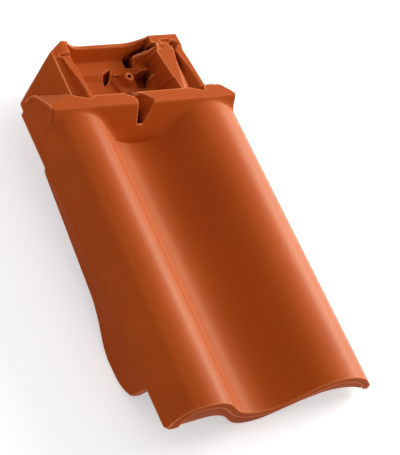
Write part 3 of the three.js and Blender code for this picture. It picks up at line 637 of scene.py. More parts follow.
@dataclass(frozen=True)
class Slot:
    """An oblong slot sunk into the head, by its middle, half sizes, depth, wall and corner."""

    x: float
    y: float
    half_x: float
    half_y: float
    depth: float
    wall: float = 0.7
    corner: float = 0.8

    def cut(self, x: Array, y: Array) -> Array:
        """How far the slot lowers the surface, by the distance outside its outline."""
        along_out, across_out = np.abs(y - self.y) - self.half_y, np.abs(x - self.x) - self.half_x
        return self.depth * fall(soft_max(along_out, across_out, self.corner), self.wall)


@dataclass
class EndBlocks:
    """The two blocks at the head's rear corners, the rim between them and their slots."""

    frame: HeadFrame = HeadFrame()
    rim: float = 33.5
    rim_from: float = 133.9  # the rim rises to the right block from here
    rim_run: float = 34.0
    rim_power: float = 2.2
    rim_reach: float = 1.2  # the rise goes on for this share of its run
    left_run: float = 1.4  # of the left block's wall down to the rim
    right_run: float = 1.2  # of the right block's
    pocket: tuple[float, float] = (195.4, 435.3)
    pocket_radius: float = 3.9
    pocket_run: float = 0.9
    pocket_depth: float = 5.0
    mouth: tuple[float, float] = (195.2, 435.0)
    mouth_half: float = 1.2
    mouth_ease: float = 0.5
    mouth_run: float = 0.8
    rear_slot: Slot = Slot(x=186.6, y=439.6, half_x=5.2, half_y=1.9, depth=2.2)
    dip: Slot = Slot(x=176.0, y=432.9, half_x=3.6, half_y=1.5, depth=1.2)
    cross_slot: Slot = Slot(x=54.5, y=430.1, half_x=7.0, half_y=1.5, depth=3.6, wall=1.0)
    left_line: Line = ((431.0, 59.8), (437.0, 59.8), (441.3, 61.1), (445.0, 62.5), (449.0, 63.3))
    right_line: Line = (
        (430.0, 172.8),
        (436.5, 172.8),
        (438.2, 171.4),
        (439.4, 167.0),
        (449.0, 166.6),
    )
    curl_line: Line = (
        (63.2, 10.2),
        (66.7, 6.6),
        (71.0, 3.2),
        (75.0, 1.4),
        (81.0, 0.3),
        (86.0, 0.0),
    )

    def inner(self, y: Array) -> Array:
        """Inner edge of the right block."""
        return along(y, self.right_line)

    def rim_level(self, x: Array) -> Array:
        """Top of the rear rim: a quick curl at the left, a slow rise at the right.

        Formula: at the right the height above the dip grows with a power of the share of the
        way to the end block.

        Args:
            x: Places across.

        Returns:
            The rim's level.
        """
        share = np.clip((x - self.rim_from) / self.rim_run, 0.0, self.rim_reach)
        slow = (self.frame.rail_top - self.rim) * share**self.rim_power
        return self.rim + slow + along(x, self.curl_line)

    def surface(self, x: Array, y: Array) -> Array:
        """Level of the end blocks and of the rim between them, with pocket and slots.

        Args:
            x: Places across.
            y: Places along.

        Returns:
            The blocks' level.
        """
        top = self.frame.block_top
        level = mix(self.rim_level(x), top, fall(x - along(y, self.left_line), self.left_run))
        level = mix(level, top, rise(x - self.inner(y), self.right_run))
        radius = np.hypot(x - self.pocket[0], y - self.pocket[1])
        round_wall = rise(radius - self.pocket_radius, self.pocket_run)
        beside = np.abs(x - self.mouth[0]) - self.mouth_half
        mouth = soft_max(beside, y - self.mouth[1], self.mouth_ease)
        level = level - self.pocket_depth * (1.0 - round_wall * rise(mouth, self.mouth_run))
        level = level - self.rear_slot.cut(x, y) * round_wall
        return level - self.dip.cut(x, y) - self.cross_slot.cut(x, y)


@dataclass
class Trough:
    """The hollow in the head: stepped floor, left, right and rear walls, ledge and shelf."""

    frame: HeadFrame = HeadFrame()
    left_line: Line = (
        (376.2, 64.3),
        (389.5, 63.3),
        (403.0, 62.3),
        (427.4, 58.5),
        (433.5, 60.3),
    )
    right_line: Line = (
        (374.0, 179.0),
        (391.4, 176.9),
        (392.3, 175.3),
        (429.4, 169.8),
        (430.8, 172.6),
        (437.0, 172.8),
    )
    wall_height: float = 34.0
    left_wall_run: float = 14.0
    left_ease: float = 2.0
    right_ease: float = 0.8
    rear_foot: float = 444.4
    rear_slope: float = 2.46
    rear_ease: float = 1.0
    block_front: float = 436.0  # the right end block closes the hollow behind this
    block_run: float = 1.0
    # Sloping band at the rear of the floor, and the tongue before it.
    band: float = 17.0
    band_front: float = 413.5
    band_run: float = 8.4
    band_ease: float = 1.2
    tongue: tuple[float, float] = (121.3, 417.1)
    tongue_run: float = 1.2
    # Seat beside the nail boss.
    seat_height: float = 4.0
    seat_left: float = 122.0
    seat_left_run: float = 3.0
    seat_right: float = 149.0
    seat_right_run: float = 4.0
    seat_bend: float = 409.7
    seat_lean: float = 0.3
    seat_ease: float = 0.8
    # Pool between tongue and seat.
    pool_depth: float = 9.0
    pool_inset: float = 0.8  # its wall starts this far inside its outline
    pool_run: float = 1.4
    pool_ease: float = 1.0
    pool_left: float = 111.0
    pool_front: float = 409.5
    pool_front_run: float = 2.0
    pool_rear: tuple[float, float] = (111.2, 421.2)
    pool_slant: float = 0.49
    pool_line: Line = (
        (410.5, 111.5),
        (412.3, 113.8),
        (415.0, 116.6),
        (417.9, 118.4),
        (425.3, 119.8),
    )
    # Pit under the right wall, and the corner pit behind the shelf.
    pit: float = 2.5
    pit_left: float = 150.6
    pit_front: float = 404.3
    pit_rear: float = 419.3
    pit_bend: float = 407.0
    pit_lean: float = 0.15
    pit_turn: float = 416.6
    pit_flare: float = 1.8
    pit_run: float = 1.4
    pit_ease: tuple[float, float] = (2.0, 1.0)  # front and rear corner
    corner: tuple[float, float] = (143.2, 428.2)
    corner_run: float = 1.2
    corner_ease: float = 1.0
    gap_left_run: float = 2.0
    gap_run: float = 1.4
    gap_line: Line = (
        (143.0, 438.8),
        (149.4, 439.6),
        (156.2, 440.4),
        (163.3, 440.2),
        (168.0, 438.6),
    )
    # Ledge and shelf that run back from the right wall.
    ledge_level: float = 20.0
    ledge_front: float = 419.5
    ledge_left: float = 151.6
    ledge_bend: float = 426.3
    ledge_lean: float = 0.8
    ledge_slope_end: float = 157.6
    ledge_run: float = 0.8
    least_ledge: float = 0.5  # least width of the slope at its left end
    shelf_front: float = 427.8
    shelf_run: float = 6.2
    shelf_reach: float = 1.4  # the shelf's plane runs on by this share of its run
    shelf_lead: float = 0.5  # ledge and shelf start this far before their lines
    shelf_front_wall: float = 0.8
    shelf_side_wall: float = 0.9  # at its left side and its rear end
    shelf_left: float = 150.2
    shelf_front_edge: tuple[float, float, float] = (151.2, 16.6, 0.17)  # place, level, slope
    shelf_rear_edge: tuple[float, float, float] = (149.8, 22.5, 0.66)
    shelf_fold: Line = ((168.5, 19.5), (162.8, 31.1))  # place and level, front and rear
    shelf_end: float = 436.4
    shelf_end_bend: float = 158.0
    shelf_end_lean: float = 0.1
    # Right wall: its foot, the fold between its two facets, and the slot behind them.
    foot_line: tuple[float, float] = (161.5, 400.0)  # a place on the foot, across and along
    foot_bounds: tuple[float, float] = (390.0, 413.7)
    foot_slope: float = 0.464
    step: float = 1.3  # the wall stands back by this much beside the bar
    step_end: float = 391.4
    step_run: float = 0.9
    fold: float = 168.3
    fold_line: tuple[float, float] = (18.0, 394.4)  # its level at a place along
    fold_bounds: tuple[float, float] = (390.0, 414.5)
    fold_slope: float = 0.396
    least_facets: tuple[float, float] = (0.4, 1.5)  # least width of the lower and upper facet
    slot_right: float = 169.7
    slot_side_wall: float = 0.7
    slot_front_wall: float = 0.8
    slot_line: Line = ((167.9, 413.4), (168.9, 410.9), (169.6, 412.4), (170.2, 413.4))

    def left_top(self, y: Array) -> Array:
        """Top edge of the left wall."""
        return along(y, self.left_line)

    def right_top(self, y: Array) -> Array:
        """Top edge of the right wall, with the small step near the bar."""
        return along(y, self.right_line)

    def wall_step(self, y: Array) -> Array:
        """How far the right wall stands back beside the bar."""
        return self.step * fall(y - self.step_end, self.step_run)

    def wall_foot(self, y: Array) -> Array:
        """Foot of the right wall."""
        run = np.clip(y, *self.foot_bounds) - self.foot_line[1]
        return self.foot_line[0] + run * self.foot_slope + self.wall_step(y)

    def wall_fold(self, y: Array) -> Array:
        """Line of the fold between the right wall's two facets."""
        return self.fold + self.wall_step(y)

    def raised_floor(self, x: Array, y: Array) -> Array:
        """Floor with its sloping band, the tongue and the seat beside the boss.

        Formula: the band is a plane held between floor and band level; tongue and seat are
        steps with straight walls.

        Args:
            x: Places across.
            y: Places along.

        Returns:
            The floor's level before the pool and the pits.
        """
        low, high = self.frame.floor, self.band
        slope = mix(low, high, (y - self.band_front) / self.band_run)
        level = soft_min(soft_max(low, slope, self.band_ease), high, self.band_ease)
        left, front = (rise(place - at, self.tongue_run) for place, at in zip((x, y), self.tongue))
        tongue = low + (high - low) * left * front
        edge = (x - self.seat_left) - np.maximum(self.seat_bend - y, 0.0) * self.seat_lean
        left = rise(edge + self.seat_left_run, self.seat_left_run)
        seat = low + self.seat_height * left * fall(x - self.seat_right, self.seat_right_run)
        return soft_max(np.maximum(level, tongue), seat, self.seat_ease)

    def floor(self, x: Array, y: Array) -> Array:
        """The whole floor, with the pool and the two pits sunk into it.

        Formula: each outline is the largest of the distances outside its straight sides.

        Args:
            x: Places across.
            y: Places along.

        Returns:
            The floor's level.
        """
        rear = y - self.pool_rear[1] - (x - self.pool_rear[0]) * self.pool_slant
        pool = soft_max(self.pool_left - x, x - along(y, self.pool_line), self.pool_ease)
        pool = fall(soft_max(pool, rear, self.pool_ease) + self.pool_inset, self.pool_run)
        front = rise(y - self.pool_front, self.pool_front_run)
        level = self.raised_floor(x, y) - self.pool_depth * pool * front
        bend = np.clip(y - self.pit_bend, 0.0, self.pit_turn - self.pit_bend) * self.pit_lean
        side = self.pit_left + bend + np.maximum(y - self.pit_turn, 0.0) * self.pit_flare
        pit = soft_max(side - x, self.pit_front - y, self.pit_ease[0])
        pit = soft_max(pit, y - self.pit_rear, self.pit_ease[1])
        level = mix(level, self.pit, fall(pit, self.pit_run))
        corner = soft_max(self.corner[0] - x, self.corner[1] - y, self.corner_ease)
        return mix(level, self.pit, fall(corner, self.corner_run))

    def ledge(self, x: Array, y: Array) -> Array:
        """Level of the flat ledge before the shelf, with the slope at its left end.

        Args:
            x: Places across.
            y: Places along.

        Returns:
            The ledge's level, far down beside it.
        """
        toe = self.ledge_left + np.maximum(self.ledge_bend - y, 0.0) * self.ledge_lean
        run = np.maximum(self.ledge_slope_end - toe, self.least_ledge)
        slope = self.band + (self.ledge_level - self.band) * (x - toe) / run
        inside = rise(y - self.ledge_front, self.ledge_run)
        inside = inside * rise(x - toe + self.shelf_lead, self.ledge_run)
        return np.minimum(slope, self.ledge_level) - SUNK * (1.0 - inside)

    def shelf(self, x: Array, y: Array) -> Array:
        """Level of the shelf behind the ledge and of the wall's facet above it.

        Formula: the shelf is a twisted plane between its front and rear edge; the facet rises
        from the fold on it to the top edge of the wall.

        Args:
            x: Places across.
            y: Places along.

        Returns:
            The shelf's level, far down beside it.
        """
        t = np.clip((y - self.shelf_front) / self.shelf_run, 0.0, self.shelf_reach)
        edges = (self.shelf_front_edge, self.shelf_rear_edge)
        front, rear = (level + slope * (x - place) for place, level, slope in edges)
        fold_x, fold_z = (mix(front_end, rear_end, t) for front_end, rear_end in zip(*self.shelf_fold))
        rest = self.frame.block_top - fold_z
        facet = fold_z + (x - fold_x) * rest / (self.right_top(y) - fold_x)
        end = self.shelf_end - np.maximum(x - self.shelf_end_bend, 0.0) * self.shelf_end_lean
        inside = rise(y - self.shelf_front + self.shelf_lead, self.shelf_front_wall)
        inside = inside * fall(y - end, self.shelf_side_wall)
        inside = inside * rise(x - self.shelf_left, self.shelf_side_wall)
        return np.maximum(mix(front, rear, t), facet) - SUNK * (1.0 - inside)

    def right_wall(self, x: Array, y: Array) -> Array:
        """Level of the right wall: two facets, the slot behind them, ledge and shelf.

        Formula: a gentle facet rises from the foot to the fold and a steep one from the fold
        to the top edge.

        Args:
            x: Places across.
            y: Places along.

        Returns:
            The highest of wall, ledge and shelf.
        """
        top, foot, fold = self.right_top(y), self.wall_foot(y), self.wall_fold(y)
        run = np.clip(y, *self.fold_bounds) - self.fold_line[1]
        fold_z = self.fold_line[0] + run * self.fold_slope
        lower = np.clip((x - foot) / np.maximum(fold - foot, self.least_facets[0]), 0.0, 1.0)
        upper = (self.frame.rail_top - fold_z) / np.maximum(top - fold, self.least_facets[1])
        wall = mix(self.frame.floor, fold_z, lower) + upper * np.maximum(x - fold, 0.0)
        wall = np.where(x < foot, self.frame.floor - SUNK, wall)
        slot = rise(y - along(x, self.slot_line), self.slot_front_wall)
        slot = slot * fall(x - self.slot_right, self.slot_side_wall)
        return np.maximum(np.maximum(wall - SUNK * slot, self.ledge(x, y)), self.shelf(x, y))

    def surface(self, x: Array, y: Array, blocks: EndBlocks) -> Array:
        """Level of the whole hollow: floor, three walls and the gap behind the shelf.

        Args:
            x: Places across.
            y: Places along.
            blocks: The end blocks, which close it at the rear.

        Returns:
            The hollow's level.
        """
        run = self.left_wall_run
        left = self.frame.floor + (self.left_top(y) + run - x) * self.wall_height / run
        gap = rise(x - self.corner[0], self.gap_left_run)
        gap = gap * fall(y - along(x, self.gap_line), self.gap_run)
        rear = blocks.rim + (y - self.rear_foot) * self.rear_slope - SUNK * gap
        level = soft_max(self.floor(x, y), left, self.left_ease)
        level = soft_max(level, rear, self.rear_ease)
        level = soft_max(level, self.right_wall(x, y), self.right_ease)
        closed = rise(x - blocks.inner(y), self.block_run)
        closed = closed * rise(y - self.block_front, self.block_run)
        return np.maximum(level, SUNK * closed)


@dataclass
class Head:
    """The head behind the bar, put together from its rails, end blocks and trough."""

    frame: HeadFrame = HeadFrame()
    left_rail: LeftRail = field(default_factory=LeftRail)
    right_rail: RightRail = field(default_factory=RightRail)
    blocks: EndBlocks = field(default_factory=EndBlocks)
    trough: Trough = field(default_factory=Trough)
    under_corners: Corners = (
        (36.4, 36.0, 0.0),
        (60.4, 36.0, 0.01),
        (74.4, 10.0, 6.0),
        (159.0, 10.0, 6.0),
        (179.0, 36.0, 0.01),
        (211.8, 36.0, 0.0),
    )
    bevel: tuple[float, float] = (1.9, 1.7)  # of the left and of the right end block's front
    bevel_change: float = 165.0
    bevel_run: float = 2.2
    groove_eases: tuple[float, float] = (0.6, 0.7)  # edges of the left and of the right groove
    groove_reach: float = 0.4  # the left groove is worked out up to this far inside the rail
    rim_ease: float = 1.0
    under_thickness: float = 12.0
    under_top: float = 28.0
    under_verge: tuple[float, float] = (14.0, 6.0)  # the underside rises from here
    under_slope: float = 22.0 / 25.4

    def surface(self, x: Array, y: Array) -> Array:
        """Level of the head at each place.

        Formula: rails with their grooves, the end blocks at the rear, all cut by the hollow;
        the shoulder lies to the left.

        Args:
            x: Places across.
            y: Places along.

        Returns:
            The head's level.
        """
        f = self.frame
        left_ease, right_ease = self.groove_eases
        rails = soft_min(np.full_like(x, f.rail_top), self.right_rail.groove(x, y), right_ease)
        bevel = np.where(x > self.bevel_change, self.bevel[1], self.bevel[0])
        share = rise(y - f.block_front + bevel, self.bevel_run)
        rails = mix(rails, self.blocks.surface(x, y), share)
        near = x < self.left_rail.edge(y) + self.groove_reach
        rails = np.where(near, soft_min(rails, self.left_rail.groove(x, y), left_ease), rails)
        level = soft_min(rails, self.trough.surface(x, y, self.blocks), self.rim_ease)
        return np.where(x < f.left, self.left_rail.shoulder(x), level)

    def underside(self, x: Array, y: Array) -> Array:
        """Underside of the head and of the shoulder.

        Args:
            x: Places across.
            y: Places along.

        Returns:
            The underside's level.
        """
        line = rounded_profile(self.under_corners, self.under_thickness)
        order = np.maximum.accumulate(line[:, 0])
        level = np.interp(x, order, line[:, 1])
        shoulder = self.under_verge[1] + np.maximum(x - self.under_verge[0], 0.0) * self.under_slope
        level = np.where(x < self.frame.left, shoulder, level)
        return np.minimum(level, self.under_top)


@dataclass
class NailBoss:
    """The cone with the nail hole that stands in the trough."""

    x: float = 137.3
    y: float = 411.8
    foot: float = 14.0
    height: float = 9.0
    base_radius: float = 9.8
    top_radius: float = 5.4
    foot_ease: float = 1.6
    top_ease: float = 1.2
    dish_radius: float = 3.6
    dish_run: float = 1.2
    dish_depth: float = 0.6
    hole_radius: float = 2.7
    reach: float = 14.4  # half width of the even grid around the boss
    round_reach: float = 10.5  # the grid lines are full circles up to here
    rings: int = 18
    least_radius: float = 1e-9  # keeps the boss's own middle from a division by nothing

    def surface(self, x: Array, y: Array, floor: Array) -> Array:
        """The cone, dished at its top, set on the floor with a small fillet.

        Args:
            x: Places across.
            y: Places along.
            floor: Level of the trough's floor there.

        Returns:
            The level of floor and boss.
        """
        r = np.hypot(x - self.x, y - self.y)
        side = self.foot + self.height * (self.base_radius - r) / (self.base_radius - self.top_radius)
        dish = rise(self.dish_radius - r, self.dish_run)
        top = self.foot + self.height - self.dish_depth * dish
        return soft_max(floor, soft_min(side, top, self.top_ease), self.foot_ease)

    def round_grid(self, x: Array, y: Array) -> tuple[Array, Array]:
        """Turns the square rings of grid lines around the boss into circles.

        Formula: a point on the square ring of half width m moves to the circle of radius m;
        the turn fades out between the foot of the cone and the end of the even grid.

        Args:
            x: Grid places across.
            y: Grid places along.

        Returns:
            The moved places.
        """
        dx, dy = x - self.x, y - self.y
        ring = np.maximum(np.abs(dx), np.abs(dy))
        r = np.maximum(np.hypot(dx, dy), self.least_radius)
        share = np.clip((self.reach - ring) / (self.reach - self.round_reach), 0.0, 1.0)
        share = share * share * (3.0 - 2.0 * share)
        scale = 1.0 + (ring / r - 1.0) * share
        return self.x + dx * scale, self.y + dy * scale


@dataclass
class BattenNibs:
    """The two nibs under the head that hook over the batten."""

    centres: tuple[float, float] = (98.0, 170.0)
    half_width: float = 17.0
    side_lead: float = 0.5
    side_run: float = 0.9
    front: float = 404.0
    front_run: float = 0.6
    clear: float = 90.0  # lifts the nibs' own surface out of the tile beside them
    rear_line: Line = ((415.0, -22.0), (420.0, -14.0), (423.0, 6.0))

    def underside(self, x: Array, y: Array, plate: Array) -> Array:
        """Underside with the nibs let down from the head.

        Args:
            x: Places across.
            y: Places along.
            plate: Underside of the head there.

        Returns:
            The lower of the head and the nibs.
        """
        profile = along(y, self.rear_line) + self.clear * fall(y - self.front, self.front_run)
        level = plate
        for centre in self.centres:
            beyond = np.abs(x - centre) - self.half_width + self.side_lead
            level = np.minimum(level, profile + self.clear * rise(beyond, self.side_run))
        return level


# ---- The whole body as one closed surface ----
class Face(Enum):
    """The two faces that the grid is laid over."""

    WEATHER = "weather"
    HIDDEN = "hidden"


@dataclass
class TileBody:
    """The clay body: weather face and underside on one grid, joined by the side walls."""

    plate: WavePlate = field(default_factory=WavePlate)
    verge: VergeSide = field(default_factory=VergeSide)
    foot: FrontFoot = field(default_factory=FrontFoot)
    bar: CrossBar = field(default_factory=CrossBar)
    notch: DrainNotch = field(default_factory=DrainNotch)
    head: Head = field(default_factory=Head)
    boss: NailBoss = field(default_factory=NailBoss)
    nibs: BattenNibs = field(default_factory=BattenNibs)
    edge_radius: float = 1.1
    sharp_angle: float = 38.0  # in degrees: edges sharper than this are shaded as edges
    least_cell: float = 0.02
    # Outlines as seen from above, and where the weather face starts at the verge.
    verge_line: Line = ((396.0, 0.0), (398.5, 0.7), (401.2, 2.7), (437.5, 38.4), (449.0, 54.9))
    weather_line: Line = ((347.0, 5.5), (352.0, 4.4), (392.4, 4.4), (392.6, 0.0))
    cover_line: Line = ((373.9, 254.0), (374.1, 232.0), (376.4, 230.0), (376.6, 0.0))
    # Where along the tile each part of the weather face takes over from the one before.
    bar_zone: tuple[float, float] = (340.0, 380.0)
    wave_end: float = 367.0
    wave_right: float = 232.0  # beside the head the wave runs on under the bar
    bar_end: float = 377.0
    bar_ease: float = 0.6  # between the bar and what lies behind it
    notch_ease: float = 0.9
    boss_from: float = 390.0
    upright_from: float = 392.5  # the verge side is one upright wall behind this
    under_change: tuple[float, float] = (370.0, 374.0)  # from the plate's underside to the head's
    # Band along the tile in which the grid follows the bar's back edge.
    drawn_line: float = 376.4
    drawn_band: tuple[float, float] = (364.0, 394.5)
    drawn_fade: tuple[float, float] = (10.0, 15.0)
    drawn_right: float = 212.0
    side_shares: tuple[float, ...] = (0.06, 0.35, 0.7, 0.94)  # rows of the cover side
    shoulder_line: float = 13.0  # the grid gets finer on the shoulder from here
    trough_line: float = 74.4  # foot of the trough's left wall
    notch_lines: tuple[float, float] = (105.0, 109.8)  # the grid is finer between them

    def left_edge(self, y: Array) -> Array:
        """Outline at the verge side, as seen from above."""
        return along(y, self.verge_line)

    def weather_left(self, y: Array) -> Array:
        """Where the weather face starts: at the flank foot, the bar's end, or the outline."""
        return np.maximum(along(y, self.weather_line), self.left_edge(y))

    def right_edge(self, y: Array) -> Array:
        """Outline at the cover side, as seen from above."""
        return np.maximum(along(y, self.cover_line), self.head.right_rail.outer(y))

    def stations(self) -> Array:
        """Places of the grid lines along the tile, close together where it is detailed.

        Returns:
            The places from the front edge to the rear edge.
        """
        b = self.boss
        parts = [
            # Front edge, the foot rib's step and its end.
            np.array([0.0, 0.15, 0.45, 0.9, 1.5, 2.1, 2.25, 2.4, 2.6, 3.4, 4.4, 5.6, 8.0, 12.0]),
            np.array([15.8, 16.4, 17.2, 20.0, 28.0, 37.0, 42.0]),
            # Flange from its front to its rear end.
            np.linspace(45.0, 60.0, 11),
            np.linspace(65.0, 316.0, 36),
            np.linspace(319.0, 331.0, 7),
            np.array([334.0, 337.0, 340.0, 342.0]),
            # Ramp, top and back edge of the bar.
            np.linspace(343.5, 360.4, 24),
            np.linspace(361.0, 373.3, 20),
            np.array([373.7, 373.95, 374.1, 374.7, 375.3, 375.8, 376.1, 376.4, 376.6]),
            np.array([377.0, 377.5]),
            # Head up to the boss, around the boss, and up to the rear edge.
            np.linspace(378.1, 392.2, 24),
            np.array([392.4, 392.6, 393.2, 394.0, 395.2, 396.2]),
            np.linspace(b.y - b.reach, b.y + b.reach, 2 * b.rings + 1),
            np.linspace(426.8, 447.4, 34),
            np.array([447.9, 448.3, 448.65, 448.88, 449.0]),
        ]
        return np.concatenate(parts)

    def hidden_columns(self, y: Array) -> list[tuple[Array | float, int]]:
        """Guide lines of the underside's grid, each with the cells up to the next.

        Args:
            y: Places along the tile.

        Returns:
            The lines from left to right.
        """
        b, right = self.boss, self.right_edge(y)
        inset, inner = self.verge.flange_inset, self.verge.inner
        (left_nib, right_nib), half = self.nibs.centres, self.nibs.half_width
        rail = np.minimum(self.head.right_rail.outer(y) - 0.1, right - 0.3)
        return [
            # Lip, flange and the step up to the plate.
            (self.left_edge(y), 1),
            (inset - 0.2, 1),
            (inset + 0.4, 3),
            (inner - 0.3, 1),
            (inner + 0.8, 14),
            # Left nib, boss, right nib and cover side.
            (self.trough_line, 2),
            (left_nib - half - 0.8, 4),
            (left_nib - half + 1.0, 6),
            (left_nib + half - 1.0, 4),
            (left_nib + half + 0.8, 2),
            (b.x - b.reach, 2 * b.rings),
            (b.x + b.reach, 2),
            (right_nib + half - 1.0, 3),
            (right_nib + half + 0.8, 6),
            (rail, 14),
            (right - 0.2, 1),
            (right, 0),
        ]

    def weather_columns(self, y: Array) -> list[tuple[Array | float, int]]:
        """Guide lines of the weather face's grid, each with the cells up to the next.

        Args:
            y: Places along the tile.

        Returns:
            The lines from left to right.
        """
        b, head, right = self.boss, self.head, self.right_edge(y)
        shoulder, bar_end = head.frame.left, self.bar.right
        rail = head.left_rail.edge(y)
        run = along(y, head.left_rail.fold_run)
        left, top = head.trough.left_top(y), head.trough.right_top(y)
        start, end = along(y, head.right_rail.start_line), along(y, head.right_rail.end_line)
        outer = head.right_rail.outer(y)
        return [
            # Shoulder, left groove and left rail.
            (self.weather_left(y), 8),
            (self.shoulder_line, 15),
            (shoulder - 0.6, 1),
            (shoulder + 0.1, 1),
            (shoulder + 0.9, 13),
            (rail - run, 4),
            (rail - 0.3, 1),
            (rail + 0.4, 4),
            # Trough with the notch and the boss.
            (left - 0.5, 1),
            (left + 0.5, 10),
            (self.trough_line, 22),
            (self.notch_lines[0], 5),
            (self.notch_lines[1], 22),
            (b.x - b.reach, 2 * b.rings),
            (b.x + b.reach, 22),
            (head.trough.wall_foot(y), 10),
            (head.trough.wall_fold(y), 12),
            (top - 0.5, 1),
            (top + 0.5, 10),
            # Right groove, right rail and the bar's right end.
            (start - 0.4, 1),
            (start + 0.5, 18),
            (end - 0.5, 1),
            (end + 0.4, 3),
            (outer - 0.9, 1),
            (np.minimum(outer - 0.1, right - 0.9), 26),
            (np.minimum(bar_end - 0.7, right - 0.7), 2),
            (np.minimum(bar_end + 0.6, right - 0.4), 5),
            (right - 0.2, 1),
            (right, 0),
        ]

    def grid(self, face: Face) -> tuple[Array, Array]:
        """Places of all grid points of one face.

        Formula: the guide lines are kept in order by a least distance and the columns divide
        the space between two of them evenly; near the bar the rows follow its back edge.

        Args:
            face: Which face the grid is for.

        Returns:
            Places across and places along, each as [station, column].
        """
        y = self.stations()
        lines = self.weather_columns(y) if face is Face.WEATHER else self.hidden_columns(y)
        first = lines[0][0]
        placed = [np.maximum(at, first + self.least_cell * n) for n, (at, _) in enumerate(lines)]
        columns = []
        for a, b, (_, cells) in zip(placed, placed[1:], lines):
            t = np.linspace(0.0, 1.0, cells, endpoint=False)[None, :]
            columns.append(a[:, None] * (1 - t) + b[:, None] * t)
        columns.append(placed[-1][:, None])
        x = np.hstack(columns)
        rows = np.broadcast_to(y[:, None], x.shape).copy()
        shift = self.bar.back(np.maximum(x, self.head.frame.left)) - self.drawn_line
        share = np.minimum(
            np.clip((rows - self.drawn_band[0]) / self.drawn_fade[0], 0, 1),
            np.clip((self.drawn_band[1] - rows) / self.drawn_fade[1], 0, 1),
        )
        rows = np.where(x < self.drawn_right, rows + shift * share, rows)
        return self.boss.round_grid(x, rows)

    def weather_level(self, x: Array, y: Array) -> Array:
        """Level of the weather face: the wave, the bar with its notch, the head and the boss.

        Args:
            x: Places across.
            y: Places along.

        Returns:
            The weather face's level.
        """
        wave = self.plate.top(x)
        ahead = (y < self.wave_end) | (x > self.wave_right)
        under = np.where(ahead, wave, self.head.surface(x, y))
        bar = self.bar.surface(x, y)
        z = soft_max(under, bar, np.where(ahead, self.bar.ease(wave), self.bar_ease))
        z = np.minimum(z, np.where(y < self.bar_end, self.bar.top, SUNK))
        z = soft_min(z, self.notch.surface(x, y), self.notch_ease)
        z = np.where((y > self.bar_zone[1]) | (y < self.bar_zone[0]), under, z)
        beside = (y > self.bar_end) & (x < self.head.frame.left)
        z = np.where(beside, soft_max(self.head.left_rail.shoulder(x), bar, self.bar_ease), z)
        z = np.where(y > self.boss_from, self.boss.surface(x, y, z), z)
        return self.eased_edges(x, y, z)

    def eased_edges(self, x: Array, y: Array, z: Array) -> Array:
        """Rounds the rim of the weather face over along the outline.

        Formula: within one radius of the edge the level drops by radius less the height of a
        quarter circle.

        Args:
            x: Places across.
            y: Places along.
            z: Level of the weather face.

        Returns:
            The level with round edges.
        """
        r, station = self.edge_radius, y[:, :1]
        from_right = self.right_edge(station) - x
        upright = station > self.upright_from
        from_left = np.where(upright, x - self.left_edge(station), SUNK)
        near = np.minimum(from_left, from_right)
        near = np.minimum(near, np.minimum(y, self.head.frame.length - y))
        u = np.clip(1.0 - near / r, 0.0, 1.0)
        return z - r * (1.0 - np.sqrt(1.0 - u * u))

    def hidden_level(self, x: Array, y: Array) -> Array:
        """Level of the underside: plate or head, then foot rib, thin nose, nibs and verge.

        Args:
            x: Places across.
            y: Places along.

        Returns:
            The underside's level.
        """
        wave = self.plate.underside(x, self.plate.thickness)
        head = self.head.underside(x, y)
        start, end = self.under_change
        z = np.where(y < start, wave, np.where(y > end, head, np.minimum(wave, head)))
        z = self.foot.underside(x, y, z)
        nose = np.maximum(self.plate.underside(x, self.plate.nose), z)
        z = z + (nose - z) * (1.0 - self.foot.behind_front(y)) * (x > self.foot.left)
        z = self.nibs.underside(x, y, z)
        return self.verge.underside(x, y, z)

    def points(self) -> tuple[Array, int, int]:
        """All points of the closed surface as rings, one ring for each station.

        Returns:
            The points [station, place in the ring, 3], the columns of the weather face, and the
            points of the left wall.
        """
        x, y = self.grid(Face.WEATHER)
        top = np.stack([x, y, self.weather_level(x, y)], axis=2)
        x, y = self.grid(Face.HIDDEN)
        bottom = np.stack([x, y, self.hidden_level(x, y)], axis=2)
        left = self.verge.wall(top[:, 0], bottom[:, 0])
        t = np.array(self.side_shares)[None, :, None]
        right = top[:, -1:] * (1 - t) + bottom[:, -1:] * t
        ring = np.concatenate([left, top, right, bottom[:, ::-1]], axis=1)
        return ring, top.shape[1], left.shape[1]

    def faces(self, stations: int, ring: int) -> Array:
        """Quads between neighbouring rings.

        Args:
            stations: Number of rings.
            ring: Points in a ring.

        Returns:
            Corner numbers of each quad.
        """
        j, i = np.meshgrid(np.arange(stations - 1), np.arange(ring), indexing="ij")
        nxt = (i + 1) % ring
        rows = (j * ring + i, j * ring + nxt, (j + 1) * ring + nxt, (j + 1) * ring + i)
        return np.stack(rows, axis=2).reshape(-1, 4)

    def build(self) -> bpy.types.Object:
        """Makes the object, lying as it rests on the floor.

        Returns:
            The finished clay body.
        """
        ring, columns, left = self.points()
        stations, size = ring.shape[:2]
        quads = self.open_hole(self.faces(stations, size), ring, columns, left)
        caps = [list(range(size))[::-1], list(range((stations - 1) * size, stations * size))]
        move = np.array(resting())[:3]
        pts = (ring.reshape(-1, 3) @ move[:, :3].T + move[:, 3]) / MM_PER_METRE
        mesh = bpy.data.meshes.new("tile_body")
        mesh.from_pydata(pts.tolist(), [], quads.tolist() + caps)
        mesh.update(calc_edges=True)
        mesh.validate()
        mesh.polygons.foreach_set("use_smooth", np.ones(len(mesh.polygons), bool))
        mesh.set_sharp_from_angle(angle=math.radians(self.sharp_angle))
        body = bpy.data.objects.new("tile_body", mesh)
        bpy.context.scene.collection.objects.link(body)
        log.info("tile body: %d points, %d faces", len(mesh.vertices), len(mesh.polygons))
        return body

    def dress(self, body: bpy.types.Object, clay: "EngobedClay") -> None:
        """Gives the clay body its finish."""
        body.data.materials.append(clay.material())

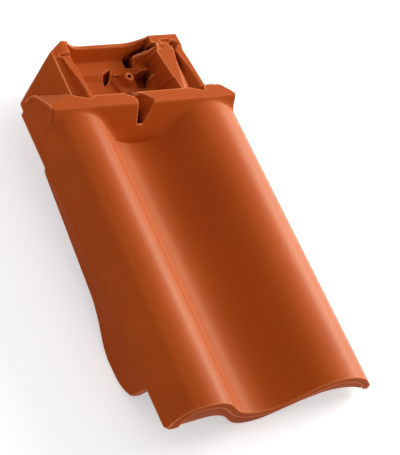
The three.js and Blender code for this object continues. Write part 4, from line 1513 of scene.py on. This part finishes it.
    def open_hole(self, quads: Array, ring: Array, columns: int, left: int) -> Array:
        """Takes the quads inside the nail hole away and lines the hole between both faces.

        Formula: the hole is the square ring of grid lines whose half width is its radius, which
        the grid has turned into a circle; one loop on each face gives the lining's quads.

        Args:
            quads: All quads of the closed surface.
            ring: Points of the surface.
            columns: Columns of the weather face.
            left: Points of the left wall.

        Returns:
            The quads with the lined hole.
        """
        b = self.boss
        size = ring.shape[1]
        offset = np.hypot(ring[:, :, 0] - b.x, ring[:, :, 1] - b.y)
        split = left + columns
        j0, i0 = np.unravel_index(int(np.argmin(offset[:, :split])), (len(ring), split))
        i1 = split + int(np.argmin(offset[j0, split:]))
        m = int(round(b.hole_radius / (b.reach / b.rings)))
        side = np.arange(-m, m)
        js = np.concatenate([np.full(2 * m, -m), side, np.full(2 * m, m), -side])
        is_ = np.concatenate([side, np.full(2 * m, m), -side, np.full(2 * m, -m)])
        top_loop = (j0 + js) * size + i0 + is_
        low_loop = (j0 + js) * size + i1 - is_
        inside = np.zeros(ring.shape[:2], bool)
        inside[j0 - m : j0 + m, i0 - m : i0 + m] = True
        inside[j0 - m : j0 + m, i1 - m : i1 + m] = True
        keep = ~inside[:-1].reshape(-1)
        lining = np.stack([top_loop, np.roll(top_loop, -1), np.roll(low_loop, -1), low_loop], axis=1)
        return np.vstack([quads[keep], lining])


# ---- Finish ----
@dataclass(frozen=True)
class ClayGrain:
    """The clay's grain over the surface: its colour with painted highlights on edges and painted shade
    in recesses, roughness, height and cover of engobe.

    Lengths are in metres, and scales count waves to the metre.
    """

    cloud_scale: float = 9.0
    cloud_layers: tuple[float, float] = (4.0, 0.55)  # number and strength of the finer layers
    cloud_range: tuple[float, float] = (0.35, 0.68)
    grain_scale: float = 700.0
    grain_layers: tuple[float, float] = (3.0, 0.6)
    grain_roughness: float = 0.10
    # Painted highlight along the edges: reach of its feelers inside the body, the range read, and its
    # strength.
    highlight_reach: float = 0.0024
    highlight_range: tuple[float, float] = (0.93, 0.5)
    highlight_share: float = 0.85
    # Painted shade in the recesses: reach of its feelers outside the body, the range read, and its
    # strength.
    recess_shade_reach: float = 0.014
    recess_shade_range: tuple[float, float] = (0.6, 0.28)
    recess_shade_share: float = 0.97
    feelers: int = 8  # rays that feel for an edge or a recess
    cover_range: tuple[float, float] = (0.25, 0.6)  # upward part of the surface's direction
    least_cover: float = 0.12

    def group(self) -> bpy.types.ShaderNodeTree:
        """Makes the node group: clouds of two reds, a painted highlight on the edges and painted shade
        in the recesses.

        Formula: how much clay lies around a point inside the body tells an edge, which gets a painted
        highlight, and how little is open around it outside tells a hollow, which gets painted shade;
        upright faces carry less engobe.

        Returns:
            The group.
        """
        group = bpy.data.node_groups.new("clay_grain", "ShaderNodeTree")
        face = group.interface
        for name in ("Light colour", "Dark colour", "Painted highlight colour", "Painted shade colour"):
            face.new_socket(name, in_out="INPUT", socket_type="NodeSocketColor")
        face.new_socket("Roughness", in_out="INPUT", socket_type="NodeSocketFloat")
        face.new_socket("Color", in_out="OUTPUT", socket_type="NodeSocketColor")
        for name in ("Roughness", "Height", "Cover"):
            face.new_socket(name, in_out="OUTPUT", socket_type="NodeSocketFloat")
        links = group.links
        source = group.nodes.new("NodeGroupInput").outputs
        sink = group.nodes.new("NodeGroupOutput").inputs
        place = group.nodes.new("ShaderNodeTexCoord").outputs
        cloud = self.noise(group, place["Object"], self.cloud_scale, *self.cloud_layers)
        fine = self.noise(group, place["Object"], self.grain_scale, *self.grain_layers)
        clouds = self.span(group, cloud, self.cloud_range, 0.0, 1.0)
        # Painted highlight on the edges: a lighter colour where feelers inside the body find little
        # clay.
        free = self.hollow(group, self.highlight_reach, True)
        edges = self.span(group, free, self.highlight_range, 0.0, self.highlight_share)
        # Painted shade in the recesses: a near-black colour where feelers outside the body find little
        # open space.
        free = self.hollow(group, self.recess_shade_reach, False)
        painted_recess_shade = self.span(group, free, self.recess_shade_range, 0.0, self.recess_shade_share)
        colour = self.blend(group, clouds, source["Dark colour"], source["Light colour"])
        colour = self.blend(group, edges, colour, source["Painted highlight colour"])
        colour = self.blend(group, painted_recess_shade, colour, source["Painted shade colour"])
        links.new(colour, sink["Color"])
        vary = group.nodes.new("ShaderNodeMath")
        vary.operation = "MULTIPLY_ADD"
        vary.inputs[1].default_value = self.grain_roughness
        links.new(fine, vary.inputs[0])
        links.new(source["Roughness"], vary.inputs[2])
        links.new(vary.outputs["Value"], sink["Roughness"])
        links.new(fine, sink["Height"])
        level = group.nodes.new("ShaderNodeSeparateXYZ")
        links.new(place["Normal"], level.inputs["Vector"])
        cover = self.span(group, level.outputs["Z"], self.cover_range, self.least_cover, 1.0)
        links.new(cover, sink["Cover"])
        return group

    @staticmethod
    def noise(
        group: bpy.types.NodeTree,
        place: bpy.types.NodeSocket,
        scale: float,
        detail: float,
        roughness: float,
    ) -> bpy.types.NodeSocket:
        """Adds a noise texture.

        Args:
            group: Tree that the node goes into.
            place: Coordinates that it is laid on.
            scale: Waves to the metre.
            detail: Number of finer layers.
            roughness: Strength of each finer layer.

        Returns:
            The noise's value.
        """
        node = group.nodes.new("ShaderNodeTexNoise")
        node.inputs["Scale"].default_value = scale
        node.inputs["Detail"].default_value = detail
        node.inputs["Roughness"].default_value = roughness
        group.links.new(place, node.inputs["Vector"])
        return node.outputs["Fac"]

    def hollow(self, group: bpy.types.NodeTree, reach: float, inside: bool) -> bpy.types.NodeSocket:
        """Adds a measure of how free the surface is within a reach.

        Args:
            group: Tree that the node goes into.
            reach: Length of the feelers.
            inside: Whether they run inside the body, or outside it.

        Returns:
            The share of free feelers.
        """
        node = group.nodes.new("ShaderNodeAmbientOcclusion")
        node.samples = self.feelers
        node.inside = inside
        node.only_local = True
        node.inputs["Distance"].default_value = reach
        return node.outputs["AO"]

    @staticmethod
    def span(
        group: bpy.types.NodeTree,
        value: bpy.types.NodeSocket,
        source: tuple[float, float],
        low: float,
        high: float,
    ) -> bpy.types.NodeSocket:
        """Stretches the part of a value between two levels to two others, and holds it there.

        Args:
            group: Tree that the node goes into.
            value: The value.
            source: The two levels that it is read between.
            low: What the first becomes.
            high: What the second becomes.

        Returns:
            The stretched value.
        """
        node = group.nodes.new("ShaderNodeMapRange")
        levels = (*source, low, high)
        for name, level in zip(("From Min", "From Max", "To Min", "To Max"), levels):
            node.inputs[name].default_value = level
        group.links.new(value, node.inputs["Value"])
        return node.outputs["Result"]

    @staticmethod
    def blend(
        group: bpy.types.NodeTree,
        mask: bpy.types.NodeSocket,
        a: bpy.types.NodeSocket,
        b: bpy.types.NodeSocket,
    ) -> bpy.types.NodeSocket:
        """Mixes two colours by a mask.

        Args:
            group: Tree that the node goes into.
            mask: Share of the second colour.
            a: First colour.
            b: Second colour.

        Returns:
            The mixed colour.
        """
        node = group.nodes.new("ShaderNodeMix")
        node.data_type = "RGBA"
        # The node's sockets by number, because its colours share their names with its values.
        for socket, number in ((mask, 0), (a, 6), (b, 7)):
            group.links.new(socket, node.inputs[number])
        return node.outputs[2]


@dataclass(frozen=True)
class EngobedClay:
    """Brick-red engobe, matt from above and satin at a slant, mottled, with fine clay grain, a painted
    highlight on its edges and painted shade in its recesses.
    """

    name: str = "fired_clay"
    colour: tuple[float, float, float] = (0.42, 0.066, 0.008)
    dark: tuple[float, float, float] = (0.38, 0.058, 0.007)
    # Painted highlight colour for the edges.
    edge: tuple[float, float, float] = (0.85, 0.28, 0.1)
    # Painted shade colour for the recesses.
    recess_shade: tuple[float, float, float] = (0.06, 0.008, 0.001)
    sheen: tuple[float, float, float] = (1.0, 0.95, 0.42)
    roughness: float = 0.47
    bump_strength: float = 0.35
    bump_depth: float = 0.0004  # in metres
    # Gloss by slant, from a surface seen straight on to one seen edge on.
    gloss: Line = (
        (0.0, 0.1),
        (0.3, 0.1),
        (0.54, 0.28),
        (0.68, 0.3),
        (0.77, 0.5),
        (0.86, 0.4),
        (0.95, 0.04),
        (1.0, 0.0),
    )

    def material(self) -> bpy.types.Material:
        """Makes the material from the grain and the gloss.

        Returns:
            The node material.
        """
        mat = bpy.data.materials.new(self.name)
        mat.use_nodes = True
        nodes, links = mat.node_tree.nodes, mat.node_tree.links
        nodes.clear()
        out = nodes.new("ShaderNodeOutputMaterial")
        shader = nodes.new("ShaderNodeBsdfPrincipled")
        shader.inputs["Specular Tint"].default_value = (*self.sheen, 1.0)
        grain = nodes.new("ShaderNodeGroup")
        grain.node_tree = ClayGrain().group()
        colours = {
            "Light colour": self.colour,
            "Dark colour": self.dark,
            # Painted highlight colour on the edges.
            "Painted highlight colour": self.edge,
            # Painted shade colour in the recesses.
            "Painted shade colour": self.recess_shade,
        }
        for name, colour in colours.items():
            grain.inputs[name].default_value = (*colour, 1.0)
        grain.inputs["Roughness"].default_value = self.roughness
        gloss = nodes.new("ShaderNodeMath")
        gloss.operation = "MULTIPLY"
        links.new(self.gloss_by_slant(mat.node_tree), gloss.inputs[0])
        links.new(grain.outputs["Cover"], gloss.inputs[1])
        bump = nodes.new("ShaderNodeBump")
        bump.inputs["Strength"].default_value = self.bump_strength
        bump.inputs["Distance"].default_value = self.bump_depth
        links.new(grain.outputs["Height"], bump.inputs["Height"])
        links.new(gloss.outputs["Value"], shader.inputs["Specular IOR Level"])
        links.new(grain.outputs["Color"], shader.inputs["Base Color"])
        links.new(grain.outputs["Roughness"], shader.inputs["Roughness"])
        links.new(bump.outputs["Normal"], shader.inputs["Normal"])
        links.new(shader.outputs["BSDF"], out.inputs["Surface"])
        return mat

    def gloss_by_slant(self, tree: bpy.types.NodeTree) -> bpy.types.NodeSocket:
        """Adds the gloss's curve over the slant at which the surface is seen.

        Args:
            tree: The material's nodes.

        Returns:
            The gloss.
        """
        slope = tree.nodes.new("ShaderNodeLayerWeight")
        slope.inputs["Blend"].default_value = 0.5
        gloss = tree.nodes.new("ShaderNodeFloatCurve")
        points = gloss.mapping.curves[0].points
        for slant, level in self.gloss[1:-1]:
            points.new(slant, level)
        for point, place in zip(points, self.gloss):
            point.location = place
            point.handle_type = "AUTO_CLAMPED"
        gloss.mapping.update()
        tree.links.new(slope.outputs["Facing"], gloss.inputs["Value"])
        return gloss.outputs["Value"]


# ---- Studio ----
@dataclass(frozen=True)
class Lamp:
    """A soft round lamp that faces the object, placed by two angles in degrees."""

    name: str
    turn: float  # seen from above, from the X axis
    height: float  # above the floor
    power: float  # in watts
    size: float = 0.9
    distance: float = 2.0
    aim: tuple[float, float, float] = (0.0, 0.0, 0.05)

    def build(self) -> None:
        """Puts the lamp into the scene."""
        data = bpy.data.lights.new(self.name, "AREA")
        data.shape = "DISK"
        data.size = self.size
        data.energy = self.power
        lamp = bpy.data.objects.new(self.name, data)
        a, b = math.radians(self.turn), math.radians(self.height)
        away = Vector((math.cos(b) * math.cos(a), math.cos(b) * math.sin(a), math.sin(b)))
        lamp.location = Vector(self.aim) + away * self.distance
        lamp.rotation_euler = away.to_track_quat("Z", "Y").to_euler()
        bpy.context.scene.collection.objects.link(lamp)


@dataclass
class Studio:
    """Pale floor, soft lamps and the camera."""

    focal: float = 161.07
    sensor: float = 36.0
    camera_place: tuple[float, float, float] = (-0.94616, -0.92712, 1.72977)  # in metres
    camera_turn: tuple[float, float, float] = (35.1510, -16.0072, -24.9647)  # about X, then Y, then Z
    clip_end: float = 50.0
    floor_size: float = 6.0  # half its side, in metres
    floor_grey: float = 0.8
    floor_glow: float = 0.45
    world_light: float = 0.6
    lamps: tuple[Lamp, ...] = (
        Lamp("key", turn=0.0, height=25.0, power=24.5),
        Lamp("key low", turn=15.0, height=14.0, power=28.5),
        Lamp("fill", turn=120.0, height=15.0, power=3.5),
    )

    def camera(self) -> None:
        """Places and turns the camera."""
        data = bpy.data.cameras.new("camera")
        data.lens = self.focal
        data.sensor_width = self.sensor
        data.sensor_fit = "AUTO"
        data.clip_end = self.clip_end
        cam = bpy.data.objects.new("camera", data)
        cam.location = self.camera_place
        cam.rotation_euler = [math.radians(angle) for angle in self.camera_turn]
        bpy.context.scene.collection.objects.link(cam)
        bpy.context.scene.camera = cam

    def seen(self, tree: bpy.types.NodeTree) -> bpy.types.NodeSocket:
        """Mask of the rays that meet the background: from the camera, or mirrored or let through.

        Args:
            tree: Nodes of the material or world.

        Returns:
            The mask's socket.
        """
        path = tree.nodes.new("ShaderNodeLightPath")
        mask = path.outputs["Is Camera Ray"]
        for kind in ("Is Glossy Ray", "Is Transmission Ray"):
            either = tree.nodes.new("ShaderNodeMath")
            either.operation = "MAXIMUM"
            tree.links.new(mask, either.inputs[0])
            tree.links.new(path.outputs[kind], either.inputs[1])
            mask = either.outputs["Value"]
        return mask

    def floor_material(self) -> bpy.types.Material:
        """Makes the floor's finish, which shows white and keeps the shadow.

        Formula: the lit floor and a white glow are added for the rays that meet the background,
        so that it clips to white where lamps reach it and greys in the object's shadow.

        Returns:
            The node material.
        """
        mat = bpy.data.materials.new("floor")
        mat.use_nodes = True
        nodes, links = mat.node_tree.nodes, mat.node_tree.links
        nodes.clear()
        out = nodes.new("ShaderNodeOutputMaterial")
        diffuse = nodes.new("ShaderNodeBsdfDiffuse")
        diffuse.inputs["Color"].default_value = (*[self.floor_grey] * 3, 1.0)
        glow = nodes.new("ShaderNodeEmission")
        glow.inputs["Color"].default_value = (1.0, 1.0, 1.0, 1.0)
        level = nodes.new("ShaderNodeMath")
        level.operation = "MULTIPLY"
        level.inputs[1].default_value = self.floor_glow
        links.new(self.seen(mat.node_tree), level.inputs[0])
        links.new(level.outputs["Value"], glow.inputs["Strength"])
        both = nodes.new("ShaderNodeAddShader")
        links.new(diffuse.outputs["BSDF"], both.inputs[0])
        links.new(glow.outputs["Emission"], both.inputs[1])
        links.new(both.outputs["Shader"], out.inputs["Surface"])
        return mat

    def floor(self) -> None:
        """Lays a plain square floor."""
        corners = [(-1, -1), (1, -1), (1, 1), (-1, 1)]
        mesh = bpy.data.meshes.new("floor")
        points = [(self.floor_size * x, self.floor_size * y, 0.0) for x, y in corners]
        mesh.from_pydata(points, [], [(0, 1, 2, 3)])
        mesh.materials.append(self.floor_material())
        floor = bpy.data.objects.new("floor", mesh)
        bpy.context.scene.collection.objects.link(floor)

    def world(self) -> None:
        """Sets an even world that lights softly and shows white behind the object."""
        world = bpy.data.worlds.new("studio")
        bpy.context.scene.world = world
        world.use_nodes = True
        nodes, links = world.node_tree.nodes, world.node_tree.links
        back = nodes["Background"]
        back.inputs["Color"].default_value = (1.0, 1.0, 1.0, 1.0)
        span = nodes.new("ShaderNodeMapRange")
        span.inputs["To Min"].default_value = self.world_light
        span.inputs["To Max"].default_value = 1.0
        links.new(self.seen(world.node_tree), span.inputs["Value"])
        links.new(span.outputs["Result"], back.inputs["Strength"])

    def build(self) -> None:
        """Sets up camera, floor, world and lamps."""
        self.camera()
        self.floor()
        self.world()
        for lamp in self.lamps:
            lamp.build()
        bpy.context.scene.view_settings.view_transform = "Standard"
        log.info("studio: %d lamps", len(self.lamps))


def main() -> None:
    """Builds the tile, its finish and the studio, and logs the tile body and the studio."""
    logging.basicConfig(level=logging.INFO)
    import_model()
    tile = TileBody()
    body = tile.build()
    tile.dress(body, EngobedClay())
    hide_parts("roof_tile")
    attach(body, "root")
    Studio().build()


if __name__ == "__main__":
    main()
